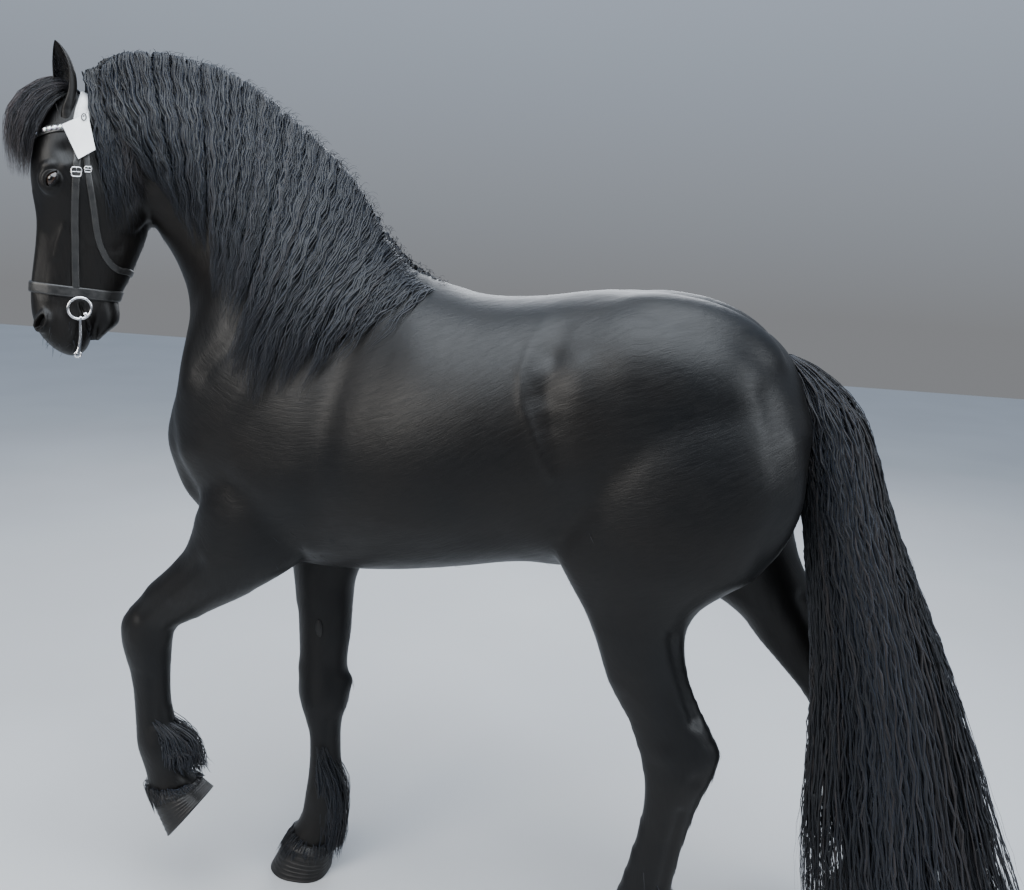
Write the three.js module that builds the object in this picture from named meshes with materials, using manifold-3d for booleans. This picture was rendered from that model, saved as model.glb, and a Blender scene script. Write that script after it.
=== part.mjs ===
// A life-size standing Friesian stallion in show bridle, near foreleg raised, as a still model.
// Millimetres, +X towards the horse's chest, +Y to its left, +Z up, floor at Z = 0.
// The body is lofted from side-view stations, joined, and parted into nodes by thin cuts.
// It is modelled straight, and one smooth map then bends the neck and head to the left.
import * as THREE from "three";
import { mergeVertices } from "three/addons/utils/BufferGeometryUtils.js";
import Module from "manifold-3d";

const wasm = await Module();
wasm.setup();

// Driving dimensions
const GAP = 0.35; // between touching nodes
const TRUNK_SIDES = 22;
const HEAD_SIDES = 18;
const LEG_SIDES = 12;
const NECK_TURN = THREE.MathUtils.degToRad(38); // how far the head looks to the left
const NECK_BASE = [580, 1360]; // side view, x and z, where the bend starts
const POLL = [1020, 1930]; // side view, where the bend ends and the head hangs from
const HEAD_AHEAD = 14; // how far the head's own frame lies ahead of the poll
const EYE_RADIUS = 23;
const EYE_AT = [101, 83, -160]; // ahead of the poll, out to the side, below the poll
const EAR_LENGTH = 168;
const STRAP_THICK = 4;
const MANE_LOCKS = 15;
const MANE_LOCKS_RIGHT = 3; // short ones that fall on the far side
const MANE_CORE = 0.5; // share of the mane's length that is solid under its locks
const TAIL_LOCKS = 14;
const TAIL_CORE = 0.5;
const FORELOCK_LOCKS = 5;
const FEATHER_LOCKS = 4; // behind each fetlock

// Trunk and neck stations: top and bottom of the section in side view (x, z), its half width,
// the height share where it is widest, and how square its upper and lower halves are.
const TRUNK = [
  { top: [-742, 1300], bottom: [-748, 1215], half: 70, mid: 0.5, up: 2, low: 2 },
  { top: [-722, 1402], bottom: [-738, 1110], half: 150, mid: 0.5, up: 2, low: 2 },
  { top: [-672, 1477], bottom: [-690, 1010], half: 212, mid: 0.55, up: 2.1, low: 2 },
  { top: [-585, 1534], bottom: [-600, 935], half: 262, mid: 0.6, up: 2.7, low: 2 },
  { top: [-480, 1562], bottom: [-480, 905], half: 287, mid: 0.6, up: 2.8, low: 2 },
  { top: [-360, 1582], bottom: [-350, 915], half: 296, mid: 0.58, up: 2.7, low: 2 },
  { top: [-230, 1574], bottom: [-215, 922], half: 296, mid: 0.52, up: 2.3, low: 2.1 },
  { top: [-110, 1554], bottom: [-90, 912], half: 312, mid: 0.48, up: 2.2, low: 2.1 },
  { top: [10, 1548], bottom: [40, 888], half: 326, mid: 0.45, up: 2.1, low: 2.1 },
  { top: [115, 1565], bottom: [160, 866], half: 324, mid: 0.44, up: 2.0, low: 2.1 },
  { top: [205, 1594], bottom: [275, 850], half: 306, mid: 0.43, up: 1.8, low: 2.1 },
  { top: [270, 1630], bottom: [390, 843], half: 286, mid: 0.43, up: 1.7, low: 2.1 },
  { top: [318, 1672], bottom: [500, 850], half: 274, mid: 0.44, up: 1.6, low: 2.2 },
  { top: [352, 1713], bottom: [610, 880], half: 266, mid: 0.44, up: 1.6, low: 2.3 },
  { top: [388, 1756], bottom: [700, 940], half: 258, mid: 0.44, up: 1.6, low: 2.4 },
  { top: [424, 1796], bottom: [766, 1020], half: 246, mid: 0.42, up: 1.6, low: 2.5 },
  { top: [462, 1833], bottom: [800, 1120], half: 226, mid: 0.4, up: 1.6, low: 2.5 },
  { top: [505, 1870], bottom: [806, 1225], half: 198, mid: 0.4, up: 1.6, low: 2.4 },
  { top: [556, 1909], bottom: [796, 1325], half: 170, mid: 0.42, up: 1.7, low: 2.3 },
  { top: [615, 1950], bottom: [790, 1415], half: 146, mid: 0.44, up: 1.7, low: 2.2 },
  { top: [688, 1993], bottom: [802, 1495], half: 128, mid: 0.45, up: 1.7, low: 2.1 },
  { top: [772, 2026], bottom: [826, 1560], half: 114, mid: 0.45, up: 1.8, low: 2.1 },
  { top: [860, 2044], bottom: [852, 1610], half: 104, mid: 0.46, up: 1.8, low: 2.1 },
  { top: [942, 2038], bottom: [880, 1650], half: 96, mid: 0.48, up: 1.9, low: 2.1 },
  { top: [1010, 2002], bottom: [905, 1690], half: 86, mid: 0.5, up: 2, low: 2 },
  { top: [1050, 1950], bottom: [940, 1730], half: 60, mid: 0.5, up: 2, low: 2 },
];

// Head stations down the face, measured from the poll: face line, jaw line and half width.
const HEAD = [
  { front: [66, 62], back: [20, 50], half: 28, mid: 0.5, up: 2, low: 2 },
  { front: [98, 44], back: [-28, 20], half: 60, mid: 0.5, up: 2.2, low: 2 },
  { front: [124, 8], back: [-60, -22], half: 76, mid: 0.5, up: 2.4, low: 2 },
  { front: [142, -40], back: [-80, -75], half: 88, mid: 0.55, up: 2.6, low: 1.9 },
  { front: [152, -90], back: [-98, -130], half: 98, mid: 0.6, up: 2.8, low: 1.8 },
  { front: [155, -135], back: [-112, -185], half: 104, mid: 0.62, up: 2.8, low: 1.8 },
  { front: [151, -175], back: [-120, -235], half: 99, mid: 0.6, up: 2.6, low: 1.9 },
  { front: [143, -215], back: [-119, -280], half: 89, mid: 0.55, up: 2.4, low: 2 },
  { front: [137, -260], back: [-107, -322], half: 78, mid: 0.52, up: 2.3, low: 2 },
  { front: [137, -310], back: [-93, -362], half: 67, mid: 0.52, up: 2.3, low: 2 },
  { front: [140, -360], back: [-80, -398], half: 59, mid: 0.55, up: 2.3, low: 2 },
  { front: [143, -410], back: [-66, -430], half: 55, mid: 0.55, up: 2.4, low: 2 },
  { front: [142, -455], back: [-54, -462], half: 55, mid: 0.55, up: 2.5, low: 2 },
  { front: [136, -495], back: [-26, -492], half: 59, mid: 0.55, up: 2.5, low: 2.2 },
  { front: [122, -530], back: [-4, -522], half: 58, mid: 0.55, up: 2.4, low: 2.3 },
  { front: [100, -558], back: [4, -550], half: 50, mid: 0.5, up: 2.2, low: 2.2 },
  { front: [76, -578], back: [12, -572], half: 37, mid: 0.5, up: 2, low: 2 },
  { front: [54, -588], back: [26, -586], half: 18, mid: 0.5, up: 2, low: 2 },
];

// The lower jaw's chin and lower lip, in the head's own frame.
const LOWER_LIP = [
  { front: [40, -400], back: [-66, -420], half: 34, mid: 0.5, up: 2, low: 2 },
  { front: [30, -440], back: [-58, -450], half: 40, mid: 0.5, up: 2, low: 2 },
  { front: [18, -475], back: [-62, -484], half: 43, mid: 0.45, up: 2, low: 2 },
  { front: [8, -505], back: [-58, -508], half: 43, mid: 0.45, up: 2, low: 2 },
  { front: [-2, -535], back: [-36, -528], half: 34, mid: 0.5, up: 2, low: 2 },
  { front: [-7, -552], back: [-19, -546], half: 14, mid: 0.5, up: 2, low: 2 },
];

// Leg stations from inside the body to the coronet: front and back of the leg in side view,
// distance from the middle plane, and half width.
const FORE_RAISED = [
  { front: [640, 1130], back: [430, 1140], y: 150, half: 86 },
  { front: [682, 1020], back: [392, 1010], y: 152, half: 104 },
  { front: [698, 935], back: [408, 900], y: 152, half: 102 },
  { front: [726, 868], back: [478, 838], y: 152, half: 90 },
  { front: [762, 825], back: [560, 788], y: 152, half: 78 },
  { front: [800, 790], back: [640, 744], y: 152, half: 66 },
  { front: [836, 752], back: [700, 706], y: 152, half: 57 },
  { front: [868, 714], back: [736, 684], y: 152, half: 54 },
  { front: [880, 668], back: [752, 658], y: 151, half: 56 },
  { front: [874, 618], back: [754, 622], y: 150, half: 52 },
  { front: [860, 572], back: [754, 582], y: 149, half: 42 },
  { front: [848, 520], back: [752, 530], y: 148, half: 37 },
  { front: [843, 470], back: [745, 480], y: 147, half: 36 },
  { front: [836, 425], back: [733, 437], y: 146, half: 39 },
  { front: [831, 385], back: [717, 397], y: 145, half: 46 },
  { front: [815, 345], back: [702, 360], y: 144, half: 45 },
  { front: [801, 305], back: [692, 325], y: 143, half: 43 },
  { front: [790, 268], back: [672, 298], y: 142, half: 52 },
];
const FORE_PLANTED = [
  { front: [620, 1130], back: [410, 1140], y: 150, half: 86 },
  { front: [626, 1020], back: [368, 1010], y: 152, half: 104 },
  { front: [596, 915], back: [352, 900], y: 146, half: 98 },
  { front: [566, 828], back: [368, 818], y: 137, half: 84 },
  { front: [548, 754], back: [382, 750], y: 128, half: 74 },
  { front: [535, 688], back: [382, 690], y: 119, half: 64 },
  { front: [525, 612], back: [381, 614], y: 111, half: 56 },
  { front: [516, 532], back: [385, 536], y: 104, half: 52 },
  { front: [514, 486], back: [373, 482], y: 100, half: 56 },
  { front: [508, 440], back: [372, 440], y: 96, half: 57 },
  { front: [490, 395], back: [385, 400], y: 92, half: 48 },
  { front: [474, 350], back: [387, 350], y: 88, half: 38 },
  { front: [468, 300], back: [380, 295], y: 83, half: 36 },
  { front: [466, 245], back: [370, 240], y: 78, half: 39 },
  { front: [470, 200], back: [360, 196], y: 74, half: 47 },
  { front: [474, 160], back: [362, 155], y: 71, half: 45 },
  { front: [486, 120], back: [380, 110], y: 68, half: 44 },
  { front: [508, 86], back: [388, 66], y: 65, half: 53 },
];
const HIND_FORWARD = [
  { front: [-262, 1420], back: [-560, 1455], y: 150, half: 96 },
  { front: [-222, 1310], back: [-686, 1350], y: 152, half: 130 },
  { front: [-204, 1190], back: [-733, 1225], y: 158, half: 149 },
  { front: [-197, 1085], back: [-722, 1110], y: 165, half: 148 },
  { front: [-206, 990], back: [-662, 1000], y: 172, half: 130 },
  { front: [-238, 928], back: [-590, 948], y: 176, half: 108 },
  { front: [-274, 868], back: [-528, 900], y: 178, half: 93 },
  { front: [-304, 805], back: [-500, 845], y: 180, half: 80 },
  { front: [-325, 748], back: [-501, 790], y: 181, half: 68 },
  { front: [-347, 695], back: [-514, 735], y: 181, half: 57 },
  { front: [-379, 643], back: [-541, 676], y: 181, half: 51 },
  { front: [-401, 590], back: [-572, 620], y: 181, half: 49 },
  { front: [-416, 545], back: [-584, 581], y: 181, half: 51 },
  { front: [-424, 500], back: [-573, 536], y: 181, half: 51 },
  { front: [-424, 455], back: [-548, 480], y: 181, half: 45 },
  { front: [-416, 400], back: [-527, 412], y: 181, half: 38 },
  { front: [-402, 345], back: [-511, 352], y: 181, half: 37 },
  { front: [-387, 290], back: [-500, 292], y: 181, half: 38 },
  { front: [-371, 240], back: [-492, 238], y: 180, half: 44 },
  { front: [-354, 198], back: [-482, 194], y: 180, half: 48 },
  { front: [-340, 158], back: [-458, 150], y: 180, half: 45 },
  { front: [-322, 120], back: [-430, 106], y: 180, half: 44 },
  { front: [-296, 86], back: [-418, 66], y: 180, half: 53 },
];
const HIND_BACK = [
  { front: [-262, 1420], back: [-560, 1455], y: 150, half: 96 },
  { front: [-236, 1310], back: [-686, 1350], y: 152, half: 130 },
  { front: [-232, 1190], back: [-736, 1225], y: 158, half: 149 },
  { front: [-250, 1090], back: [-740, 1120], y: 164, half: 148 },
  { front: [-300, 995], back: [-742, 1020], y: 168, half: 130 },
  { front: [-372, 925], back: [-760, 940], y: 170, half: 108 },
  { front: [-460, 872], back: [-790, 872], y: 170, half: 92 },
  { front: [-548, 826], back: [-818, 818], y: 170, half: 78 },
  { front: [-622, 778], back: [-842, 776], y: 170, half: 66 },
  { front: [-678, 714], back: [-872, 738], y: 170, half: 56 },
  { front: [-726, 662], back: [-916, 700], y: 170, half: 51 },
  { front: [-780, 604], back: [-954, 660], y: 170, half: 50 },
  { front: [-812, 556], back: [-968, 614], y: 170, half: 51 },
  { front: [-832, 508], back: [-962, 560], y: 169, half: 50 },
  { front: [-846, 462], back: [-957, 500], y: 168, half: 44 },
  { front: [-861, 405], back: [-966, 430], y: 167, half: 38 },
  { front: [-877, 350], back: [-981, 368], y: 166, half: 37 },
  { front: [-893, 300], back: [-999, 306], y: 165, half: 38 },
  { front: [-902, 250], back: [-1019, 248], y: 164, half: 44 },
  { front: [-899, 206], back: [-1026, 198], y: 163, half: 48 },
  { front: [-884, 164], back: [-1002, 150], y: 162, half: 45 },
  { front: [-862, 122], back: [-970, 106], y: 161, half: 44 },
  { front: [-838, 86], back: [-958, 66], y: 160, half: 53 },
];

// Each hoof from the coronet to the ground surface, as leg stations.
const HOOVES = {
  fore_left: {
    top: { front: [790, 268], back: [672, 298], y: 142, half: 56 },
    sole: { front: [727, 168], back: [640, 280], y: 142, half: 64 },
  },
  fore_right: {
    top: { front: [508, 86], back: [388, 66], y: 65, half: 56 },
    sole: { front: [551, 0], back: [394, 0], y: 64, half: 68 },
  },
  hind_left: {
    top: { front: [-296, 86], back: [-418, 66], y: 180, half: 55 },
    sole: { front: [-252, 0], back: [-408, 0], y: 180, half: 65 },
  },
  hind_right: {
    top: { front: [-838, 86], back: [-958, 66], y: 160, half: 55 },
    sole: { front: [-794, 0], back: [-950, 0], y: 160, half: 65 },
  },
};

// Solids from geometry and back

function solidOf(geometry) {
  const bare = geometry.clone();
  for (const name of Object.keys(bare.attributes)) {
    if (name !== "position") bare.deleteAttribute(name);
  }
  const merged = mergeVertices(bare, 1e-3);
  return new wasm.Manifold(
    new wasm.Mesh({
      numProp: 3,
      vertProperties: new Float32Array(merged.attributes.position.array),
      triVerts: new Uint32Array(merged.index.array),
    }),
  );
}

function geometryOf(solid) {
  const mesh = solid.getMesh();
  const geometry = new THREE.BufferGeometry();
  geometry.setAttribute("position", new THREE.BufferAttribute(new Float32Array(mesh.vertProperties), 3));
  geometry.setIndex(new THREE.BufferAttribute(new Uint32Array(mesh.triVerts), 1));
  geometry.computeVertexNormals();
  return geometry;
}

// Keeps the largest closed surface and fills any hollow sealed inside it.
function largest(solid) {
  const pieces = solid.decompose();
  pieces.sort((a, b) => b.volume() - a.volume());
  return pieces[0];
}

function joined(solids) {
  return solids.reduce((all, next) => all.add(next));
}

// Rings of points, each as long as the next, closed at both ends by a fan.
function loft(rings) {
  const sides = rings[0].length;
  const positions = [];
  for (const ring of rings) {
    for (const point of ring) positions.push(point.x, point.y, point.z);
  }
  const middle = (ring) => ring.reduce((sum, p) => sum.add(p), new THREE.Vector3()).divideScalar(sides);
  const ends = [middle(rings[0]), middle(rings[rings.length - 1])];
  for (const end of ends) positions.push(end.x, end.y, end.z);
  const first = rings.length * sides;
  const faces = [];
  for (let r = 0; r < rings.length - 1; r += 1) {
    for (let k = 0; k < sides; k += 1) {
      const a = r * sides + k;
      const b = r * sides + ((k + 1) % sides);
      faces.push(a, b, a + sides, b, b + sides, a + sides);
    }
  }
  for (let k = 0; k < sides; k += 1) {
    const next = (k + 1) % sides;
    faces.push(first, next, k);
    faces.push(first + 1, first - sides + k, first - sides + next);
  }
  const geometry = new THREE.BufferGeometry();
  geometry.setAttribute("position", new THREE.Float32BufferAttribute(positions, 3));
  geometry.setIndex(faces);
  const solid = solidOf(geometry);
  if (solid.volume() >= 0) return solid;
  for (let i = 0; i < faces.length; i += 3) [faces[i + 1], faces[i + 2]] = [faces[i + 2], faces[i + 1]];
  geometry.setIndex(faces);
  return solidOf(geometry);
}

// One ring across a body part. The front or top point comes first, the left side next.
function ring(station, sides, grow = 0) {
  const fore = station.front ?? station.top;
  const aft = station.back ?? station.bottom;
  const across = new THREE.Vector2(fore[0] - aft[0], fore[1] - aft[1]);
  const reach = across.clone().normalize().multiplyScalar(grow);
  const a = new THREE.Vector2(fore[0], fore[1]).add(reach);
  const b = new THREE.Vector2(aft[0], aft[1]).sub(reach);
  const centre = b.clone().lerp(a, station.mid ?? 0.5);
  const points = [];
  for (let k = 0; k < sides; k += 1) {
    const angle = (2 * Math.PI * k) / sides;
    const c = Math.cos(angle);
    const s = Math.sin(angle);
    const power = 2 / (c > 0 ? station.up ?? 2 : station.low ?? 2);
    const along = Math.abs(c) ** power;
    const side = Math.sign(s) * Math.abs(s) ** power;
    const place = centre.clone().lerp(c > 0 ? a : b, along);
    points.push(new THREE.Vector3(place.x, (station.y ?? 0) + (station.half + grow) * side, place.y));
  }
  return points;
}

// The bend of the neck. A point's share along the neck comes from its place in side view.
const NECK_RUN = new THREE.Vector2(POLL[0] - NECK_BASE[0], POLL[1] - NECK_BASE[1]);
const BEND_STEPS = 200;
const bendLine = [[NECK_BASE[0], 0]];
for (let i = 0; i < BEND_STEPS; i += 1) {
  const turn = NECK_TURN * ((i + 0.5) / BEND_STEPS) ** 0.75;
  const step = NECK_RUN.x / BEND_STEPS;
  const [x, y] = bendLine[i];
  bendLine.push([x + step * Math.cos(turn), y + step * Math.sin(turn)]);
}

function bendBy(point, share) {
  const turn = NECK_TURN * share ** 0.75;
  const at = share * BEND_STEPS;
  const low = Math.min(BEND_STEPS - 1, Math.floor(at));
  const [x0, y0] = bendLine[low];
  const [x1, y1] = bendLine[low + 1];
  const x = x0 + (x1 - x0) * (at - low);
  const y = y0 + (y1 - y0) * (at - low);
  const ahead = point.x - (NECK_BASE[0] + NECK_RUN.x * share);
  return new THREE.Vector3(
    x + ahead * Math.cos(turn) - point.y * Math.sin(turn),
    y + ahead * Math.sin(turn) + point.y * Math.cos(turn),
    point.z,
  );
}

function bend(point) {
  const along = (point.x - NECK_BASE[0]) * NECK_RUN.x + (point.z - NECK_BASE[1]) * NECK_RUN.y;
  const share = along / NECK_RUN.lengthSq();
  if (share <= 0) return point.clone();
  return bendBy(point, Math.min(1, share));
}

const bendHead = (point) => bendBy(point, 1);
const straight = (point) => point.clone();

function loftOf(stations, sides, shape, grow = 0) {
  const rings = stations.map((station) => ring(station, sides, grow));
  if (grow) {
    // the end rings move outwards too
    const centre = (points) => points.reduce((sum, p) => sum.add(p), new THREE.Vector3()).divideScalar(sides);
    for (const [end, next] of [[0, 1], [rings.length - 1, rings.length - 2]]) {
      const shift = centre(rings[end]).sub(centre(rings[next])).setLength(grow);
      for (const point of rings[end]) point.add(shift);
    }
  }
  return loft(rings.map((points) => points.map(shape)));
}

// A point in the head's own frame, moved to the straight horse.
function fromPoll(ahead, side, up) {
  return new THREE.Vector3(POLL[0] + HEAD_AHEAD + ahead, side, POLL[1] + up);
}

const mirrored = (station) => ({ ...station, y: -station.y });

// An ellipsoid in the straight horse, with a tilt about the Y axis.
function ellipsoid(centre, radii, tilt, shape, detail = [12, 8]) {
  const geometry = new THREE.SphereGeometry(1, detail[0], detail[1]);
  geometry.scale(radii[0], radii[1], radii[2]);
  geometry.rotateY(tilt);
  geometry.translate(centre.x, centre.y, centre.z);
  const place = geometry.attributes.position;
  const point = new THREE.Vector3();
  for (let i = 0; i < place.count; i += 1) {
    const moved = shape(point.fromBufferAttribute(place, i));
    place.setXYZ(i, moved.x, moved.y, moved.z);
  }
  return solidOf(geometry);
}

// Head, in the straight horse's frame and then turned with the neck
function toHead(station) {
  const place = ([ahead, up]) => [POLL[0] + HEAD_AHEAD + ahead, POLL[1] + up];
  return { ...station, front: place(station.front), back: place(station.back) };
}

function headSolid(shape, grow = 0) {
  const g = grow;
  const parts = [
    loftOf(HEAD.map(toHead), HEAD_SIDES, shape, g),
    loftOf(LOWER_LIP.map(toHead), 10, shape, g),
  ];
  for (const side of [-1, 1]) {
    // cheek, brow, eyelids and nostril rim
    parts.push(ellipsoid(fromPoll(-28, 48 * side, -205), [88 + g, 42 + g, 98 + g], 0.15, shape, [11, 7]));
    parts.push(ellipsoid(fromPoll(104, 74 * side, -128), [34 + g, 26 + g, 22 + g], 0.3, shape, [9, 6]));
    const lid = fromPoll(EYE_AT[0], EYE_AT[1] * side, EYE_AT[2]);
    const lidRadii = [EYE_RADIUS + 7 + g, EYE_RADIUS + 3 + g, EYE_RADIUS + 5 + g];
    parts.push(ellipsoid(lid, lidRadii, 0, shape, [10, 7]));
    parts.push(ellipsoid(fromPoll(108, 40 * side, -500), [25 + g, 21 + g, 32 + g], -0.35, shape, [9, 6]));
  }
  return joined(parts);
}

function headDetails(solid, shape) {
  let head = solid;
  for (const side of [-1, 1]) {
    // the almond between the lids, the eye's seat and the nostril
    const eye = fromPoll(EYE_AT[0], EYE_AT[1] * side, EYE_AT[2]);
    const opening = fromPoll(EYE_AT[0] + 5, (EYE_AT[1] + 26) * side, EYE_AT[2]);
    head = head.subtract(ellipsoid(opening, [12, 22, 20], -0.25, shape, [10, 6]));
    head = head.subtract(
      ellipsoid(eye, [EYE_RADIUS + GAP, EYE_RADIUS + GAP, EYE_RADIUS + GAP], 0, shape, [12, 8]),
    );
    head = head.subtract(ellipsoid(fromPoll(118, 56 * side, -503), [9, 16, 21], -0.5, shape, [8, 6]));
  }
  // the line of the mouth, from its corner to the front of the lips
  const slit = new THREE.BoxGeometry(112, 160, 3);
  slit.rotateY(-1.22);
  slit.translate(POLL[0] + HEAD_AHEAD + 13, 0, POLL[1] - 512);
  const place = slit.attributes.position;
  const point = new THREE.Vector3();
  for (let i = 0; i < place.count; i += 1) {
    const moved = shape(point.fromBufferAttribute(place, i));
    place.setXYZ(i, moved.x, moved.y, moved.z);
  }
  return head.subtract(solidOf(slit));
}

// An ear: a leaf-shaped cone, scooped out to a cup that opens forwards and outwards.
function earSolid(side, shape, grow = 0) {
  const shares = [0, 0.14, 0.34, 0.58, 0.8, 0.94, 1];
  const widths = [20, 25, 28, 27, 18, 8, 2];
  const base = fromPoll(84, 54 * side, 6);
  const tip = fromPoll(108, 50 * side, 6 + EAR_LENGTH);
  const opens = new THREE.Vector3(0.72, 0.69 * side, -0.2).normalize();
  const axis = tip.clone().sub(base).normalize();
  const broad = new THREE.Vector3().crossVectors(axis, opens).normalize();
  const deep = new THREE.Vector3().crossVectors(broad, axis).normalize();
  const leaf = (scale, shift, from) =>
    loft(
      shares.map((share, i) => {
        const bow = Math.sin(Math.PI * share) * 12;
        const centre = base.clone().lerp(tip, from + share * (1 - from));
        centre.addScaledVector(deep, shift - bow + 6 * share);
        const points = [];
        for (let k = 0; k < 10; k += 1) {
          const angle = (2 * Math.PI * k) / 10;
          const point = centre.clone();
          point.addScaledVector(broad, (widths[i] * scale + grow) * Math.cos(angle));
          point.addScaledVector(deep, (widths[i] * scale * 0.72 + grow) * Math.sin(angle));
          points.push(shape(point));
        }
        return points;
      }),
    );
  return grow ? leaf(1, 0, 0) : leaf(1, 0, 0).subtract(leaf(0.84, 12, 0.1));
}

// Breast, shoulder, and the two halves of the croup with the groove between them
const SHOULDER = { centre: [480, 165, 1170], radii: [190, 104, 270], tilt: 0.5, detail: [12, 8] };
const MUSCLES = [
  { centre: [676, 92, 1120], radii: [110, 104, 170], tilt: 0.2, detail: [10, 7] },
  SHOULDER,
  { centre: [-440, 112, 1436], radii: [250, 132, 142], tilt: -0.12, detail: [12, 8] },
];

// The whole of the flesh in one solid, grown by a margin where hair and straps are cut from it.
function fleshSolid(grow = 0) {
  const neckAndTrunk = loftOf(TRUNK, TRUNK_SIDES, bend, grow);
  const legs = [
    loftOf(FORE_RAISED, LEG_SIDES, straight, grow),
    loftOf(FORE_PLANTED.map(mirrored), LEG_SIDES, straight, grow),
    loftOf(HIND_FORWARD, LEG_SIDES, straight, grow),
    loftOf(HIND_BACK.map(mirrored), LEG_SIDES, straight, grow),
  ];
  const muscles = [];
  for (const side of [-1, 1]) {
    for (const { centre, radii, tilt, detail } of MUSCLES) {
      const at = new THREE.Vector3(centre[0], centre[1] * side, centre[2]);
      muscles.push(ellipsoid(at, radii.map((radius) => radius + grow), tilt, straight, detail));
    }
  }
  return joined([neckAndTrunk, ...legs, ...muscles, headSolid(bendHead, grow)]);
}

// A prism with its outline in the Y-Z plane, used to take a leg from the body.
function legRegion(outline, side, xFrom, xTo, inset) {
  const shape = new THREE.Shape(outline.map(([y, z]) => new THREE.Vector2((y + inset) * side, z - inset)));
  const geometry = new THREE.ExtrudeGeometry(shape, { depth: xTo - xFrom - 2 * inset, bevelEnabled: false });
  // the shape's x runs along Y, its y along Z, and its depth along X
  geometry.applyMatrix4(new THREE.Matrix4().set(0, 0, 1, xFrom + inset, 1, 0, 0, 0, 0, 1, 0, 0, 0, 0, 0, 1));
  return solidOf(geometry);
}

const FORE_OUTLINE = [
  [-40, -50],
  [-40, 690],
  [28, 800],
  [50, 848],
  [380, 1040],
  [420, -50],
];
const HIND_OUTLINE = [
  [10, -50],
  [10, 800],
  [36, 870],
  [380, 1160],
  [460, -50],
];
const LEG_CUTS = {
  foreleg_left: { outline: [[20, 60], ...FORE_OUTLINE.slice(2, 5), [420, 60]], side: 1, from: 320, to: 1000 },
  foreleg_right: { outline: FORE_OUTLINE, side: -1, from: 320, to: 760 },
  hindleg_left: { outline: HIND_OUTLINE, side: 1, from: -800, to: -172 },
  hindleg_right: { outline: HIND_OUTLINE, side: -1, from: -1150, to: -200 },
};

// The head's side of the cut from poll to throat, as a prism across the head.
const HEAD_OUTLINE = [[6, 70], [-128, -300], [-150, -420], [-150, -700], [400, -700], [400, 300], [60, 300]];

function headRegion(inset) {
  const shape = new THREE.Shape(HEAD_OUTLINE.map(([ahead, up]) => new THREE.Vector2(ahead + inset, up)));
  const geometry = new THREE.ExtrudeGeometry(shape, { depth: 700, bevelEnabled: false });
  const place = geometry.attributes.position;
  for (let i = 0; i < place.count; i += 1) {
    const moved = bendHead(fromPoll(place.getX(i), place.getZ(i) - 350, place.getY(i)));
    place.setXYZ(i, moved.x, moved.y, moved.z);
  }
  const solid = solidOf(geometry);
  if (solid.volume() >= 0) return solid;
  const turned = mergeVertices(geometry.deleteAttribute("uv").deleteAttribute("normal"), 1e-3);
  const corners = turned.index.array;
  for (let i = 1; i < corners.length; i += 3) [corners[i], corners[i + 1]] = [corners[i + 1], corners[i]];
  return solidOf(turned);
}

// A half space as a big box whose lower face passes through a point and faces a direction.
function halfSpace(point, direction, size, shift) {
  const geometry = new THREE.BoxGeometry(size, size, size);
  geometry.translate(0, 0, size / 2);
  geometry.applyQuaternion(new THREE.Quaternion().setFromUnitVectors(new THREE.Vector3(0, 0, 1), direction));
  const at = point.clone().addScaledVector(direction, shift);
  geometry.translate(at.x, at.y, at.z);
  return solidOf(geometry);
}

// The cut from withers to breast
const NECK_CUT = {
  point: new THREE.Vector3(570, 0, 1435),
  direction: new THREE.Vector3(0.69, 0, 0.724).normalize(),
};

function fleshNodes() {
  const whole = fleshSolid();
  const nodes = {};
  let torso = whole;
  for (const [name, cut] of Object.entries(LEG_CUTS)) {
    nodes[name] = largest(whole.intersect(legRegion(cut.outline, cut.side, cut.from, cut.to, GAP)));
    torso = torso.subtract(legRegion(cut.outline, cut.side, cut.from, cut.to, 0));
  }
  const above = halfSpace(NECK_CUT.point, NECK_CUT.direction, 1600, GAP);
  const neckAndHead = whole.intersect(above);
  nodes.torso = largest(torso.subtract(halfSpace(NECK_CUT.point, NECK_CUT.direction, 1600, 0)));
  nodes.head = largest(headDetails(neckAndHead.intersect(headRegion(GAP)), bendHead));
  nodes.neck = largest(neckAndHead.subtract(headRegion(0)));
  return nodes;
}

// A hoof: the wall flares from the coronet to the ground, and a raised foot shows its sole.
function hoofSolid(name) {
  const { top, sole } = HOOVES[name];
  const side = name.endsWith("right") ? -1 : 1;
  const mix = (share, extra = 0) => {
    const blend = (a, b) => a + (b - a) * share;
    return {
      front: [blend(top.front[0], sole.front[0]), blend(top.front[1], sole.front[1])],
      back: [blend(top.back[0], sole.back[0]), blend(top.back[1], sole.back[1])],
      y: blend(top.y, sole.y) * side,
      half: blend(top.half, sole.half) + extra,
      mid: 0.52,
      up: 2,
      low: 2.8,
    };
  };
  // a little over 1 mm below the leg's end, so that the two keep their gap
  const start = 1.2 * GAP / Math.hypot(top.front[0] - sole.front[0], top.front[1] - sole.front[1]);
  const rings = [mix(start + 0.01), mix(0.12, 2), mix(0.5, 1), mix(1)].map((station) => ring(station, 14));
  if (name === "fore_left") {
    const toe = new THREE.Vector3(sole.front[0], sole.y, sole.front[1]);
    const heel = new THREE.Vector3(sole.back[0], sole.y, sole.back[1]);
    const across = toe.clone().sub(heel).normalize();
    const inwards = new THREE.Vector3(-across.z, 0, across.x);
    const centre = toe.clone().lerp(heel, 0.5);
    for (const [scale, depth] of [[0.84, 0], [0.7, 9]]) {
      rings.push(
        rings[3].map((point) => centre.clone().lerp(point, scale).addScaledVector(inwards, depth)),
      );
    }
  }
  return loft(rings);
}

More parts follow.
